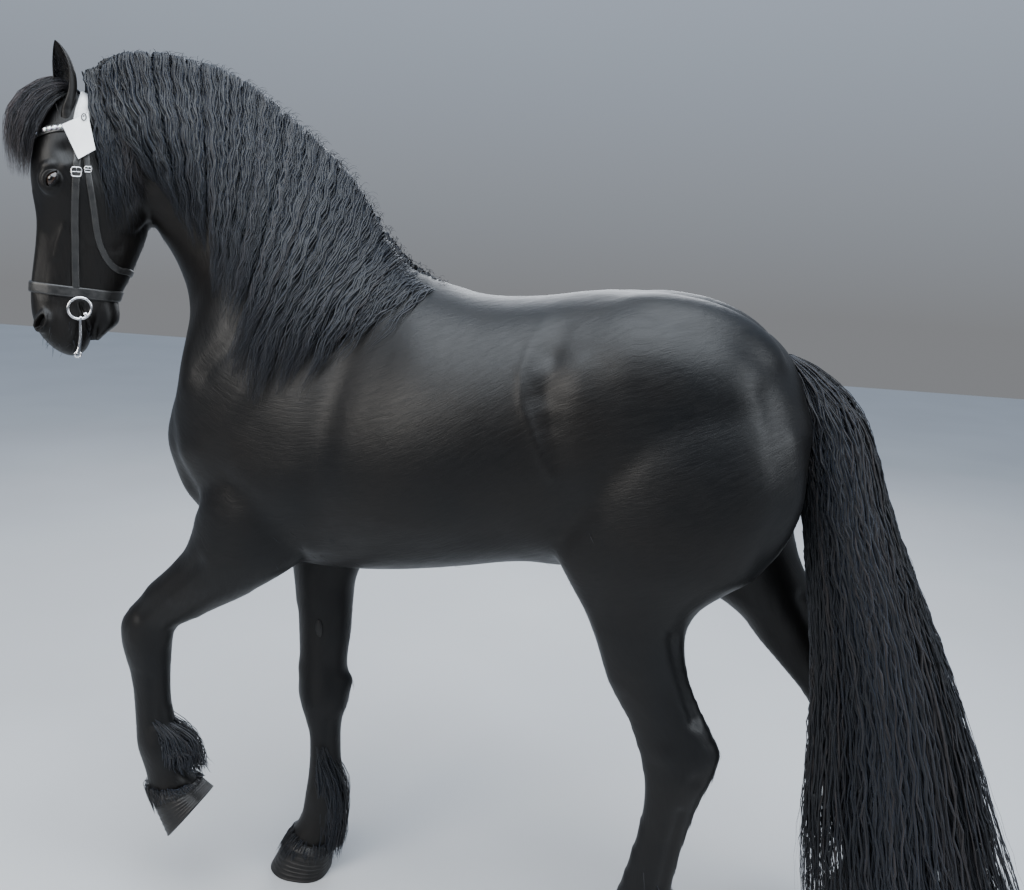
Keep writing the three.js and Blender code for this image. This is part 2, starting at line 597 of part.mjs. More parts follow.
// How far out to the left the surface lies at a place in side view, or 0 outside the outline.
function sideAt(stations, x, z) {
  let best = 0;
  for (let i = 0; i < stations.length - 1; i += 1) {
    const [a, b] = [stations[i], stations[i + 1]];
    const ends = (f) =>
      [["front", "top"], ["back", "bottom"]].map(([one, two]) => {
        const [p, q] = [a[one] ?? a[two], b[one] ?? b[two]];
        return [p[0] + (q[0] - p[0]) * f, p[1] + (q[1] - p[1]) * f];
      });
    const miss = (f) => {
      const [t, o] = ends(f);
      return (t[0] - o[0]) * (z - o[1]) - (t[1] - o[1]) * (x - o[0]);
    };
    if (miss(0) * miss(1) > 0) continue;
    let [low, high] = [0, 1];
    for (let step = 0; step < 18; step += 1) {
      const half = (low + high) / 2;
      if (miss(low) * miss(half) > 0) low = half;
      else high = half;
    }
    const [t, o] = ends(low);
    const share = ((x - o[0]) * (t[0] - o[0]) + (z - o[1]) * (t[1] - o[1]))
      / ((t[0] - o[0]) ** 2 + (t[1] - o[1]) ** 2);
    if (share < 0 || share > 1) continue;
    const mid = a.mid ?? 0.5;
    const power = (share > mid ? a.up : a.low) ?? 2;
    const along = share > mid ? (share - mid) / (1 - mid) : (mid - share) / mid;
    best = Math.max(best, (a.half + (b.half - a.half) * low) * (1 - along ** power) ** (1 / power));
  }
  return best;
}

// The left side of the neck and shoulder.
function flankAt(x, z) {
  const { centre, radii, tilt } = SHOULDER;
  const [dx, dz] = [x - centre[0], z - centre[2]];
  const u = dx * Math.cos(tilt) - dz * Math.sin(tilt);
  const v = dx * Math.sin(tilt) + dz * Math.cos(tilt);
  const inside = 1 - (u / radii[0]) ** 2 - (v / radii[2]) ** 2;
  const shoulder = inside > 0 ? centre[1] + radii[1] * Math.sqrt(inside) : 0;
  return Math.max(sideAt(TRUNK, x, z), shoulder);
}

function crestAt(x) {
  for (let i = 1; i < TRUNK.length; i += 1) {
    const [a, b] = [TRUNK[i - 1].top, TRUNK[i].top];
    if (x <= b[0]) return a[1] + ((b[1] - a[1]) * (x - a[0])) / (b[0] - a[0]);
  }
  return TRUNK[TRUNK.length - 1].top[1];
}

// The value at a share of the way through an evenly spaced list.
function between(list, share) {
  const at = Math.min(0.9999, Math.max(0, share)) * (list.length - 1);
  const i = Math.floor(at);
  return list[i] + (list[i + 1] - list[i]) * (at - i);
}

// A flat tapered lock along a path, with its width, its thickness and the way it faces.
function lockSolid(path, width, thick, faces, profile = [0.75, 1, 1, 0.9, 0.62, 0.06]) {
  const rings = path.map((point, i) => {
    const ahead = path[Math.min(i + 1, path.length - 1)].clone().sub(path[Math.max(i - 1, 0)]).normalize();
    const broad = new THREE.Vector3().crossVectors(ahead, faces[i]).normalize();
    const deep = new THREE.Vector3().crossVectors(broad, ahead).normalize();
    const size = between(profile, i / (path.length - 1));
    const w = (width / 2) * size;
    const t = (thick / 2) * Math.min(1, size * 1.3);
    return [[w, -0.4 * t], [0, t], [-w, -0.4 * t]].map(([across, out]) =>
      point.clone().addScaledVector(broad, across).addScaledVector(deep, out),
    );
  });
  return loft(rings);
}

let seed = 7;
function random() {
  seed = (seed * 16807) % 2147483647;
  return seed / 2147483647;
}
const spread = (amount) => (random() * 2 - 1) * amount;

// The mane: its roots run along the crest, and every lock ends on the line of the tips.
const MANE_ROOTS = [178, 262, 340, 410, 480, 560, 650, 745, 840, 940, 1026];
const MANE_TIP_X = [352, 402, 446, 488, 528, 575, 625, 682, 742, 812, 896];
const MANE_TIP_Z = [1262, 1236, 1232, 1244, 1272, 1326, 1392, 1468, 1552, 1652, 1762];
const MANE_RISE = [12, 32, 56, 58, 56, 64, 72, 78, 68, 72, 92]; // the hair's height over the crest

function manePoint(share, down, lift, side = 1) {
  const root = between(MANE_ROOTS, share);
  const top = crestAt(root);
  if (down <= 0) return new THREE.Vector3(root, -6 * side, top - 22);
  if (down < 0.1) {
    const part = down / 0.1;
    const rise = between(MANE_RISE, share) * (side > 0 ? 1 : 0.8);
    return new THREE.Vector3(root, side * (4 + 26 * part), top + rise - 12 * part * part);
  }
  const fall = (down - 0.1) / 0.9;
  const x = root + (between(MANE_TIP_X, share) - root) * fall ** 1.15;
  const z = top + 12 + (between(MANE_TIP_Z, share) - top - 12) * fall;
  const out = Math.max(flankAt(x, Math.min(z, crestAt(x) - 26)), 24);
  return new THREE.Vector3(x, side * (out + lift), z);
}

function maneFace(down, side = 1) {
  const up = Math.max(0, 1 - down / 0.16);
  return new THREE.Vector3(0, side * (1 - 0.8 * up), up + 0.05).normalize();
}

// A sheet of hair from the crest down a part of the mane's length.
function maneSheet(reach, thick) {
  const downs = [0, 0.03, 0.1, 0.22, 0.4, 0.6, 0.8, 1].map((d) => (d < 0.2 ? d : d * reach));
  const rings = [];
  for (let i = 0; i <= 12; i += 1) {
    const share = i / 12;
    const taper = i === 0 || i === 12 ? 0.4 : 1;
    const last = downs.length - 1;
    const outer = downs.map((d, k) => manePoint(share, d, thick * taper * (k === last ? 0.3 : 1)));
    const inner = downs.slice(2).map((d) => manePoint(share, Math.max(d, 0.15), -14)).reverse();
    rings.push([...outer, ...inner].map(bend));
  }
  return loft(rings);
}

function maneLock(share, length, lift, width, thick, side = 1) {
  const swing = spread(0.5);
  const downs = [0.03, 0.1, 0.36, 0.66, 1].map((d, i) => (i < 2 ? d : d * length));
  const path = downs.map((down, i) => {
    const wave = i < 2 ? 0 : Math.sin(i * 1.9 + swing * 9);
    const at = Math.min(1, Math.max(0, share + (i > 2 ? 0.01 * wave : 0)));
    return manePoint(at, down, lift + 7 * wave - (i === 4 ? lift * 0.5 : 0), side);
  });
  const faces = downs.map((down) => maneFace(down, side));
  return lockSolid(path.map(bend), width, thick, faces);
}

function maneSolid() {
  const pieces = [maneSheet(MANE_CORE, 24)];
  for (let i = 0; i < MANE_LOCKS; i += 1) {
    const share = (i + 0.5 + spread(0.2)) / MANE_LOCKS;
    const length = i % 2 ? 0.98 + spread(0.02) : 0.88 + spread(0.06);
    const lift = (32 + (i % 2) * 8) * Math.min(1, 0.5 + 4 * share);
    pieces.push(maneLock(share, length, lift, 104 + spread(10), 32));
  }
  for (let i = 0; i < MANE_LOCKS_RIGHT; i += 1) {
    const share = 0.15 + (0.8 * (i + 0.5)) / MANE_LOCKS_RIGHT;
    pieces.push(maneLock(share, 0.3 + spread(0.08), 10, 66 + spread(10), 24, -1));
  }
  return joined(pieces);
}

// The forelock: from between the ears, over the brow and down to the eyes.
function forelockLock(spreadOut, reach, drop, width) {
  const path = [
    [52, 10, 40],
    [92, 14, 78],
    [128 + reach * 0.4, 24, 62],
    [158 + reach * 0.9, 34, 10],
    [166 + reach, 42, -60],
    [158 + reach * 0.75, 48, drop],
  ].map(([ahead, out, up]) => fromPoll(ahead, spreadOut * out * 1.6 + spread(4), up));
  const faces = path.map((point, i) => new THREE.Vector3(0.25 + 0.15 * i, 0, 1 - 0.17 * i).normalize());
  return lockSolid(
    path.map(bendHead),
    width,
    26,
    faces.map((face) => bendHead(face.clone().add(fromPoll(0, 0, 0))).sub(bendHead(fromPoll(0, 0, 0)))),
  );
}

function forelockSolid() {
  const pieces = [forelockLock(0, 14, -120, 92)];
  const count = FORELOCK_LOCKS;
  for (let i = 0; i < count; i += 1) {
    const out = -1 + (2 * i) / (count - 1);
    const reach = 34 - 30 * Math.abs(out) + spread(8);
    pieces.push(forelockLock(out, reach, -128 + spread(24), 44 + spread(6)));
  }
  return joined(pieces);
}

// The tail, in side view from its front to its back edge, with its two sides.
const TAIL_Z = [1462, 1400, 1320, 1230, 1120, 1000, 860, 720, 560, 400, 240, 110, 22];
const TAIL_FRONT = [-640, -690, -716, -728, -738, -752, -768, -778, -778, -772, -784, -792, -806];
const TAIL_BACK = [-722, -806, -872, -902, -932, -980, -1040, -1096, -1152, -1204, -1268, -1310, -1336];
const TAIL_MIDDLE = [0, 2, 6, 12, 20, 26, 32, 38, 40, 42, 44, 46, 48];
const TAIL_HALF = [30, 62, 82, 92, 98, 102, 106, 110, 112, 116, 120, 124, 126];

function tailPoint(down, across, out) {
  const [front, back] = [between(TAIL_FRONT, down), between(TAIL_BACK, down)];
  return new THREE.Vector3(
    (front + back) / 2 + (across * (back - front)) / 2,
    between(TAIL_MIDDLE, down) + out * between(TAIL_HALF, down),
    between(TAIL_Z, down),
  );
}

function tailCore(reach) {
  const rings = [];
  for (let i = 0; i <= 7; i += 1) {
    const down = (i / 7) ** 1.3 * reach;
    const size = i === 7 ? 0.3 : 0.97 - 0.15 * Math.min(1, down * 3);
    const points = [];
    for (let k = 0; k < 10; k += 1) {
      const angle = (2 * Math.PI * k) / 10;
      points.push(tailPoint(down, size * Math.cos(angle), size * Math.sin(angle)));
    }
    rings.push(points);
  }
  return loft(rings);
}

function tailSolid() {
  const pieces = [tailCore(TAIL_CORE)];
  for (let i = 0; i < TAIL_LOCKS; i += 1) {
    const angle = i * 2.399963;
    const outer = i % 4 !== 3;
    const radius = outer ? 0.9 : 0.45;
    const from = outer ? 0.06 + 0.24 * random() : 0.36;
    const twist = spread(0.3);
    const path = [];
    const faces = [];
    for (let k = 0; k <= 5; k += 1) {
      const part = k / 5;
      const down = from + (0.985 + spread(0.01) - 0.05 * (i % 3) * random() - from) * part;
      const wave = k ? 0.09 * Math.sin(k * 2.2 + i) : 0;
      const size = (k === 0 ? 0.55 : radius + wave) * (k === 5 ? 0.97 : 1);
      const turn = angle + twist * part;
      path.push(tailPoint(down, size * Math.cos(turn), size * Math.sin(turn)));
      faces.push(new THREE.Vector3(-Math.cos(turn), Math.sin(turn), 0.05));
    }
    pieces.push(lockSolid(path, 146 + spread(14), 44, faces, [0.5, 0.8, 1.05, 1.15, 0.9, 0.06]));
  }
  return joined(pieces);
}

// Feathers behind each fetlock: roots up the back of the leg, bulge, and tips by the heel.
const FEATHERS = {
  fore_left: {
    roots: [[726, 452], [704, 372]],
    bulge: [[676, 415], [650, 372]],
    tips: [[618, 338], [650, 318]],
    y: 146,
  },
  fore_right: {
    roots: [[384, 330], [382, 160]],
    bulge: [[352, 232], [352, 110]],
    tips: [[342, 92], [366, 22]],
    y: -70,
  },
  hind_left: {
    roots: [[-488, 330], [-462, 150]],
    bulge: [[-520, 222], [-492, 106]],
    tips: [[-524, 84], [-462, 20]],
    y: 181,
  },
  hind_right: {
    roots: [[-990, 338], [-1004, 150]],
    bulge: [[-1048, 226], [-1032, 106]],
    tips: [[-1060, 84], [-1002, 20]],
    y: -163,
  },
};

function featherSolid(name) {
  const { roots, bulge, tips, y } = FEATHERS[name];
  const blend = (a, b, f) => a + (b - a) * f;
  const at = ([a, b], f) => [blend(a[0], b[0], f), blend(a[1], b[1], f)];
  const lock = (level, out, width, thick) => {
    const [root, swell, tip] = [roots, bulge, tips].map((pair) => at(pair, level));
    const round = 1 - 0.5 * out * out;
    const deep = [root[0] + 30, root[1]];
    const path = [
      [deep[0], deep[1], out * 14],
      [blend(deep[0], swell[0], round), blend(deep[1], swell[1], 0.8), out * 38],
      [blend(deep[0], blend(swell[0], tip[0], 0.5), round), blend(swell[1], tip[1], 0.5), out * 42],
      [blend(deep[0], tip[0], round), tip[1], out * 30],
    ].map(([px, pz, py]) => new THREE.Vector3(px, y + py, pz));
    const face = new THREE.Vector3(-1, out * 1.4, 0).normalize();
    return lockSolid(path, width, thick, path.map(() => face), [1, 1, 0.75, 0.06]);
  };
  const pieces = [lock(0.35, 0, 60, 30)];
  for (let i = 0; i < FEATHER_LOCKS; i += 1) {
    const out = FEATHER_LOCKS > 1 ? (2 * i) / (FEATHER_LOCKS - 1) - 1 : 0;
    pieces.push(lock((i * 0.618) % 1, out, 34 + spread(4), 22));
  }
  return joined(pieces);
}

// Bridle: straps are ribbons laid along the head
const HEAD_IN_PLACE = HEAD.map(toHead);

function headAt(ahead, up) {
  const x = POLL[0] + HEAD_AHEAD + ahead;
  const z = POLL[1] + up;
  const [dx, dz] = [ahead + 28, up + 205];
  const [u, v] = [dx * Math.cos(0.15) - dz * Math.sin(0.15), dx * Math.sin(0.15) + dz * Math.cos(0.15)];
  const inside = 1 - (u / 88) ** 2 - (v / 98) ** 2;
  return Math.max(sideAt(HEAD_IN_PLACE, x, z), inside > 0 ? 48 + 42 * Math.sqrt(inside) : 0);
}

// A strap through points given ahead, out to the side and up from the poll, with its outward way.
function strap(points, width, thick = STRAP_THICK, grow = 0) {
  const rings = points.map(([ahead, side, up, face], i) => {
    const at = fromPoll(ahead, side, up);
    const [before, after] = [points[Math.max(0, i - 1)], points[Math.min(points.length - 1, i + 1)]];
    const along = fromPoll(...after.slice(0, 3)).sub(fromPoll(...before.slice(0, 3))).normalize();
    const out = new THREE.Vector3(...face).normalize();
    const broad = new THREE.Vector3().crossVectors(along, out).normalize();
    const deep = new THREE.Vector3().crossVectors(broad, along).normalize();
    const w = width / 2 + grow;
    return [[w, -1.5 - grow], [w, thick + grow], [-w, thick + grow], [-w, -1.5 - grow]].map(([a, b]) =>
      bendHead(at.clone().addScaledVector(broad, a).addScaledVector(deep, b)),
    );
  });
  return loft(rings);
}

// Points on one side of the head, from a list of places in side view.
function onSide(places, side, lift = 2.5) {
  return places.map(([ahead, up]) => [ahead, side * (headAt(ahead, up) + lift), up, [0, side, 0]]);
}

function overTop(places, side) {
  return [...onSide(places, side)].reverse();
}

function headpiece(grow = 0) {
  const sidePlaces = [[38, 34], [44, 8], [48, -22], [50, -48]];
  return strap(
    [
      ...overTop(sidePlaces, 1),
      [34, 40, 62, [0, 0.7, 0.9]],
      [33, 16, 72, [0, 0.2, 1]],
      [33, -16, 72, [0, -0.2, 1]],
      [34, -40, 62, [0, -0.7, 0.9]],
      ...onSide(sidePlaces, -1),
    ],
    36,
    STRAP_THICK,
    grow,
  );
}

function browband(grow = 0) {
  const sidePlaces = [[128, -44], [104, -38], [78, -34], [56, -32]];
  return strap(
    [
      ...overTop(sidePlaces, 1),
      [148, 40, -52, [1, 0.5, 0.1]],
      [155, 0, -56, [1, 0, 0.1]],
      [148, -40, -52, [1, -0.5, 0.1]],
      ...onSide(sidePlaces, -1),
    ],
    20,
    STRAP_THICK,
    grow,
  );
}

function cheekStrap(side, grow = 0) {
  const places = [[52, -52], [54, -110], [55, -170], [54, -240], [50, -310], [46, -380], [42, -436]];
  return strap(onSide(places, side, 3), 18, STRAP_THICK, grow);
}

function throatStrap(grow = 0) {
  const places = [[38, -58], [30, -130], [14, -220], [-2, -300], [-28, -352], [-60, -376]];
  return strap(
    [
      ...overTop(places, 1),
      [-92, 36, -388, [-0.8, 0.6, -0.6]],
      [-102, 0, -392, [-1, 0, -0.5]],
      [-92, -36, -388, [-0.8, -0.6, -0.6]],
      ...onSide(places, -1),
    ],
    16,
    STRAP_THICK,
    grow,
  );
}

// A closed loop round the nose, above the bit and below the hard part of the nose.
function noseband(grow = 0) {
  const band = (size, rise) =>
    loft(
      [-rise, rise].map((up) => {
        const ends = { front: [142.5, -418 + up], back: [-63, -440 + up] };
        const level = toHead({ ...ends, half: 55, mid: 0.55, up: 2.4, low: 2 });
        return ring(level, HEAD_SIDES, size).map(bendHead);
      }),
    );
  return band(STRAP_THICK + 2 + grow, 14 + grow).subtract(band(-12, 40));
}

// A bit ring with its shank beside the corner of the mouth.
function bitSolid(side) {
  const ringShape = new THREE.TorusGeometry(26, 3.6, 5, 12);
  ringShape.rotateX(Math.PI / 2);
  const shank = new THREE.CylinderGeometry(4, 5.5, 96, 6);
  shank.rotateX(Math.PI / 2);
  shank.translate(-3, 0, -62);
  const cheek = new THREE.CylinderGeometry(5, 5, 14, 6);
  cheek.translate(-14, -5 * side, -18);
  const parts = [ringShape, shank, cheek].map((geometry) => {
    const at = fromPoll(34, side * (headAt(34, -470) + 13), -466);
    geometry.translate(at.x, at.y, at.z);
    const place = geometry.attributes.position;
    const point = new THREE.Vector3();
    for (let i = 0; i < place.count; i += 1) {
      const moved = bendHead(point.fromBufferAttribute(place, i));
      place.setXYZ(i, moved.x, moved.y, moved.z);
    }
    return solidOf(geometry);
  });
  return joined(parts);
}

// A blank card hung by the browband on the left side.
function tagSolid() {
  const corners = [[90, -32], [36, 0], [16, -84], [52, -110]];
  const side = headAt(60, -100) + 16;
  const face = (thick) => corners.map(([ahead, up]) => bendHead(fromPoll(ahead, side + thick, up)));
  return loft([face(0), face(2.4)]);
}

const COLOURS = {
  coat: { color: 0x0c0c0e, roughness: 0.42 },
  hair: { color: 0x111214, roughness: 0.55 },
  hoof: { color: 0x1b1a19, roughness: 0.5 },
  eye: { color: 0x1a0f08, roughness: 0.06 },
  strap: { color: 0x0d0d0d, roughness: 0.35 },
  white_strap: { color: 0xe6e6e4, roughness: 0.5 },
  steel: { color: 0xc8c9cc, roughness: 0.2, metalness: 1 },
  card: { color: 0xf2f2f2, roughness: 0.7 },
};

const horse = new THREE.Group();

function addNode(name, solid, look) {
  const material = new THREE.MeshStandardMaterial({ metalness: 0, ...COLOURS[look] });
  const mesh = new THREE.Mesh(geometryOf(largest(solid)), material);
  mesh.name = name;
  horse.add(mesh);
}

for (const [name, solid] of Object.entries(fleshNodes())) addNode(name, solid, "coat");

const grownHead = headSolid(bendHead, GAP);
const grownFlesh = fleshSolid(GAP);
const grownEars = [];
for (const side of [1, -1]) {
  const word = side > 0 ? "left" : "right";
  const eye = fromPoll(EYE_AT[0], EYE_AT[1] * side, EYE_AT[2]);
  addNode(`eye_${word}`, ellipsoid(eye, [EYE_RADIUS, EYE_RADIUS, EYE_RADIUS], 0, bendHead, [12, 8]), "eye");
  addNode(`ear_${word}`, earSolid(side, bendHead).subtract(grownHead), "coat");
  grownEars.push(earSolid(side, bendHead, GAP));
}
for (const name of Object.keys(HOOVES)) addNode(`hoof_${name}`, hoofSolid(name), "hoof");

const ears = joined(grownEars);
addNode("bridle_headpiece", headpiece().subtract(grownFlesh).subtract(ears), "white_strap");
addNode("bridle_browband", browband().subtract(grownHead).subtract(ears).subtract(headpiece(GAP)), "strap");
addNode("bridle_noseband", noseband().subtract(grownHead), "strap");
const grownNoseband = noseband(GAP);
addNode("bridle_throatlatch", throatStrap().subtract(grownFlesh), "strap");
for (const side of [1, -1]) {
  const word = side > 0 ? "left" : "right";
  addNode(`bridle_cheek_${word}`, cheekStrap(side).subtract(grownHead).subtract(grownNoseband), "strap");
  addNode(`bit_${word}`, bitSolid(side).subtract(grownHead).subtract(grownNoseband), "steel");
}
addNode("number_tag", tagSolid(), "card");

const cheekStraps = [cheekStrap(1, GAP), cheekStrap(-1, GAP)];
const worn = joined([headpiece(GAP), browband(GAP), throatStrap(GAP), ...cheekStraps]);
const forelock = forelockSolid().subtract(grownFlesh).subtract(ears).subtract(worn);
addNode("forelock", forelock, "hair");
addNode("mane", maneSolid().subtract(grownFlesh).subtract(ears).subtract(worn), "hair");
addNode("tail", tailSolid().subtract(grownFlesh), "hair");
for (const name of Object.keys(FEATHERS)) {
  addNode(`feather_${name}`, featherSolid(name).subtract(grownFlesh), "hair");
}

// The origin lies on the floor under the middle of the whole.
const bounds = new THREE.Box3().setFromObject(horse);
const middle = bounds.getCenter(new THREE.Vector3());
for (const mesh of horse.children) mesh.geometry.translate(-middle.x, -middle.y, 0);

export default horse;
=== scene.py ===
import bmesh
import bpy
import numpy as np
from mathutils import Matrix, Vector
from mathutils.bvhtree import BVHTree
from mathutils.kdtree import KDTree


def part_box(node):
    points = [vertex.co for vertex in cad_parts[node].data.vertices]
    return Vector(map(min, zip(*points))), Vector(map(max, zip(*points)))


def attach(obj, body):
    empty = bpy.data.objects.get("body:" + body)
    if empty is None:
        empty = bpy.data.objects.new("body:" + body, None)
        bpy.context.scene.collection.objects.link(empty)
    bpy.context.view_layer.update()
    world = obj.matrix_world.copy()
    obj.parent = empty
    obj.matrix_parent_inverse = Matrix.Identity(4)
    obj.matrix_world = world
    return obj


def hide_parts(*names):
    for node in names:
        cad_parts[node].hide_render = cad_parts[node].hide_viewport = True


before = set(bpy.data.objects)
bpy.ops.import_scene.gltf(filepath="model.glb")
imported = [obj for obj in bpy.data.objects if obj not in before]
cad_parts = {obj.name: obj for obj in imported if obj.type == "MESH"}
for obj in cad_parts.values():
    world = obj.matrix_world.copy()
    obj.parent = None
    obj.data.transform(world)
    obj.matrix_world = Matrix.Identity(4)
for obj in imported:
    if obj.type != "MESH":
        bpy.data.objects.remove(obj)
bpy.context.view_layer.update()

# Driving sizes
SOLE_MIDDLE = (472.5, -64.0)  # the planted fore hoof's middle in the horse's own frame
NECK_TURN = np.radians(38)  # how far the head looks to the left
NECK_BASE = np.array([580.0, 1360.0])  # side view, where the bend starts
POLL = np.array([1020.0, 1930.0])  # where it ends and the head hangs from
HEAD_AHEAD = 14  # how far the head's own frame lies ahead of the poll
HEAD_ORIGIN = np.array([POLL[0] + HEAD_AHEAD, 0, POLL[1]])
EYE_RADIUS = 23
EYE_AT = (101, 83, -160)  # ahead of the poll, out to the side, below the poll
EAR_LENGTH = 168
COAT_DEPTH = 2.0  # how far the skin lies inside the solids
VOXEL = 13.6  # size of the skin's faces before they are refined
HEAD_VOXEL = 3.5  # the same for the head's finer form
LEG_TOP = 880  # the legs' height where the bake map parts them from the trunk
FORE_FROM = 100  # forelegs stand ahead of this, hind legs behind it
SIDES = ((1, "left"), (-1, "right"))
PATCH = 0.003  # size of one tuft's place in the bake map

# Trunk and neck stations in side view: top x and z, bottom x and z, half width, the height
# share where it is widest, and how square the upper and lower halves are.
TRUNK = [
    (-742, 1300, -748, 1215, 70, 0.5, 2, 2),
    (-722, 1402, -738, 1110, 150, 0.5, 2, 2),
    (-672, 1477, -690, 1010, 212, 0.55, 2.1, 2),
    (-585, 1534, -600, 935, 262, 0.6, 2.7, 2),
    (-480, 1562, -480, 905, 287, 0.6, 2.8, 2),
    (-360, 1582, -350, 915, 296, 0.58, 2.7, 2),
    (-230, 1574, -215, 922, 296, 0.52, 2.3, 2.1),
    (-110, 1554, -90, 912, 312, 0.48, 2.2, 2.1),
    (10, 1548, 40, 888, 326, 0.45, 2.1, 2.1),
    (115, 1565, 160, 866, 324, 0.44, 2, 2.1),
    (205, 1594, 275, 850, 306, 0.43, 1.8, 2.1),
    (270, 1630, 390, 843, 286, 0.43, 1.7, 2.1),
    (318, 1672, 500, 850, 274, 0.44, 1.6, 2.2),
    (352, 1713, 610, 880, 266, 0.44, 1.6, 2.3),
    (388, 1756, 700, 940, 258, 0.44, 1.6, 2.4),
    (424, 1796, 766, 1020, 246, 0.42, 1.6, 2.5),
    (462, 1833, 800, 1120, 226, 0.4, 1.6, 2.5),
    (505, 1870, 806, 1225, 198, 0.4, 1.6, 2.4),
    (556, 1909, 796, 1325, 170, 0.42, 1.7, 2.3),
    (615, 1950, 790, 1415, 146, 0.44, 1.7, 2.2),
    (688, 1993, 802, 1495, 128, 0.45, 1.7, 2.1),
    (772, 2026, 826, 1560, 114, 0.45, 1.8, 2.1),
    (860, 2044, 852, 1610, 104, 0.46, 1.8, 2.1),
    (942, 2038, 880, 1650, 96, 0.48, 1.9, 2.1),
    (1010, 2002, 905, 1690, 86, 0.5, 2, 2),
    (1050, 1950, 940, 1730, 60, 0.5, 2, 2),
]
# The head and the lower lip in the same way, measured ahead of and up from the poll
HEAD = [
    (66, 62, 20, 50, 28, 0.5, 2, 2),
    (98, 44, -28, 20, 60, 0.5, 2.2, 2),
    (124, 8, -60, -22, 76, 0.5, 2.4, 2),
    (142, -40, -80, -75, 88, 0.55, 2.6, 1.9),
    (152, -90, -98, -130, 98, 0.6, 2.8, 1.8),
    (155, -135, -112, -185, 104, 0.62, 2.8, 1.8),
    (151, -175, -120, -235, 99, 0.6, 2.6, 1.9),
    (143, -215, -119, -280, 89, 0.55, 2.4, 2),
    (137, -260, -107, -322, 78, 0.52, 2.3, 2),
    (137, -310, -93, -362, 67, 0.52, 2.3, 2),
    (140, -360, -80, -398, 59, 0.55, 2.3, 2),
    (143, -410, -66, -430, 55, 0.55, 2.4, 2),
    (142, -455, -54, -462, 55, 0.55, 2.5, 2),
    (136, -495, -26, -492, 59, 0.55, 2.5, 2.2),
    (122, -530, -4, -522, 58, 0.55, 2.4, 2.3),
    (100, -558, 4, -550, 50, 0.5, 2.2, 2.2),
    (76, -578, 12, -572, 37, 0.5, 2, 2),
    (54, -588, 26, -586, 18, 0.5, 2, 2),
]
LOWER_LIP = [
    (40, -400, -66, -420, 34, 0.5, 2, 2),
    (30, -440, -58, -450, 40, 0.5, 2, 2),
    (18, -475, -62, -484, 43, 0.45, 2, 2),
    (8, -505, -58, -508, 43, 0.45, 2, 2),
    (-2, -535, -36, -528, 34, 0.5, 2, 2),
    (-7, -552, -19, -546, 14, 0.5, 2, 2),
]
# Legs from top to coronet: front edge x and z, back edge x and z, distance to the side, half width
FORE_RAISED = [
    (640, 1130, 430, 1140, 150, 86),
    (682, 1020, 392, 1010, 152, 104),
    (698, 935, 408, 900, 152, 102),
    (726, 868, 478, 838, 152, 90),
    (762, 825, 560, 788, 152, 78),
    (800, 790, 640, 744, 152, 66),
    (836, 752, 700, 706, 152, 57),
    (868, 714, 736, 684, 152, 54),
    (880, 668, 752, 658, 151, 56),
    (874, 618, 754, 622, 150, 52),
    (860, 572, 754, 582, 149, 42),
    (848, 520, 752, 530, 148, 37),
    (843, 470, 745, 480, 147, 36),
    (836, 425, 733, 437, 146, 39),
    (831, 385, 717, 397, 145, 46),
    (815, 345, 702, 360, 144, 45),
    (801, 305, 692, 325, 143, 43),
    (790, 268, 672, 298, 142, 52),
]
FORE_PLANTED = [
    (620, 1130, 410, 1140, 150, 86),
    (626, 1020, 368, 1010, 152, 104),
    (596, 915, 352, 900, 146, 98),
    (566, 828, 368, 818, 137, 84),
    (548, 754, 382, 750, 128, 74),
    (535, 688, 382, 690, 119, 64),
    (525, 612, 381, 614, 111, 56),
    (516, 532, 385, 536, 104, 52),
    (514, 486, 373, 482, 100, 56),
    (508, 440, 372, 440, 96, 57),
    (490, 395, 385, 400, 92, 48),
    (474, 350, 387, 350, 88, 38),
    (468, 300, 380, 295, 83, 36),
    (466, 245, 370, 240, 78, 39),
    (470, 200, 360, 196, 74, 47),
    (474, 160, 362, 155, 71, 45),
    (486, 120, 380, 110, 68, 44),
    (508, 86, 388, 66, 65, 53),
]
HIND_FORWARD = [
    (-262, 1420, -560, 1455, 150, 96),
    (-222, 1310, -686, 1350, 152, 130),
    (-204, 1190, -733, 1225, 158, 149),
    (-197, 1085, -722, 1110, 165, 148),
    (-206, 990, -662, 1000, 172, 130),
    (-238, 928, -590, 948, 176, 108),
    (-274, 868, -528, 900, 178, 93),
    (-304, 805, -500, 845, 180, 80),
    (-325, 748, -501, 790, 181, 68),
    (-347, 695, -514, 735, 181, 57),
    (-379, 643, -541, 676, 181, 51),
    (-401, 590, -572, 620, 181, 49),
    (-416, 545, -584, 581, 181, 51),
    (-424, 500, -573, 536, 181, 51),
    (-424, 455, -548, 480, 181, 45),
    (-416, 400, -527, 412, 181, 38),
    (-402, 345, -511, 352, 181, 37),
    (-387, 290, -500, 292, 181, 38),
    (-371, 240, -492, 238, 180, 44),
    (-354, 198, -482, 194, 180, 48),
    (-340, 158, -458, 150, 180, 45),
    (-322, 120, -430, 106, 180, 44),
    (-296, 86, -418, 66, 180, 53),
]
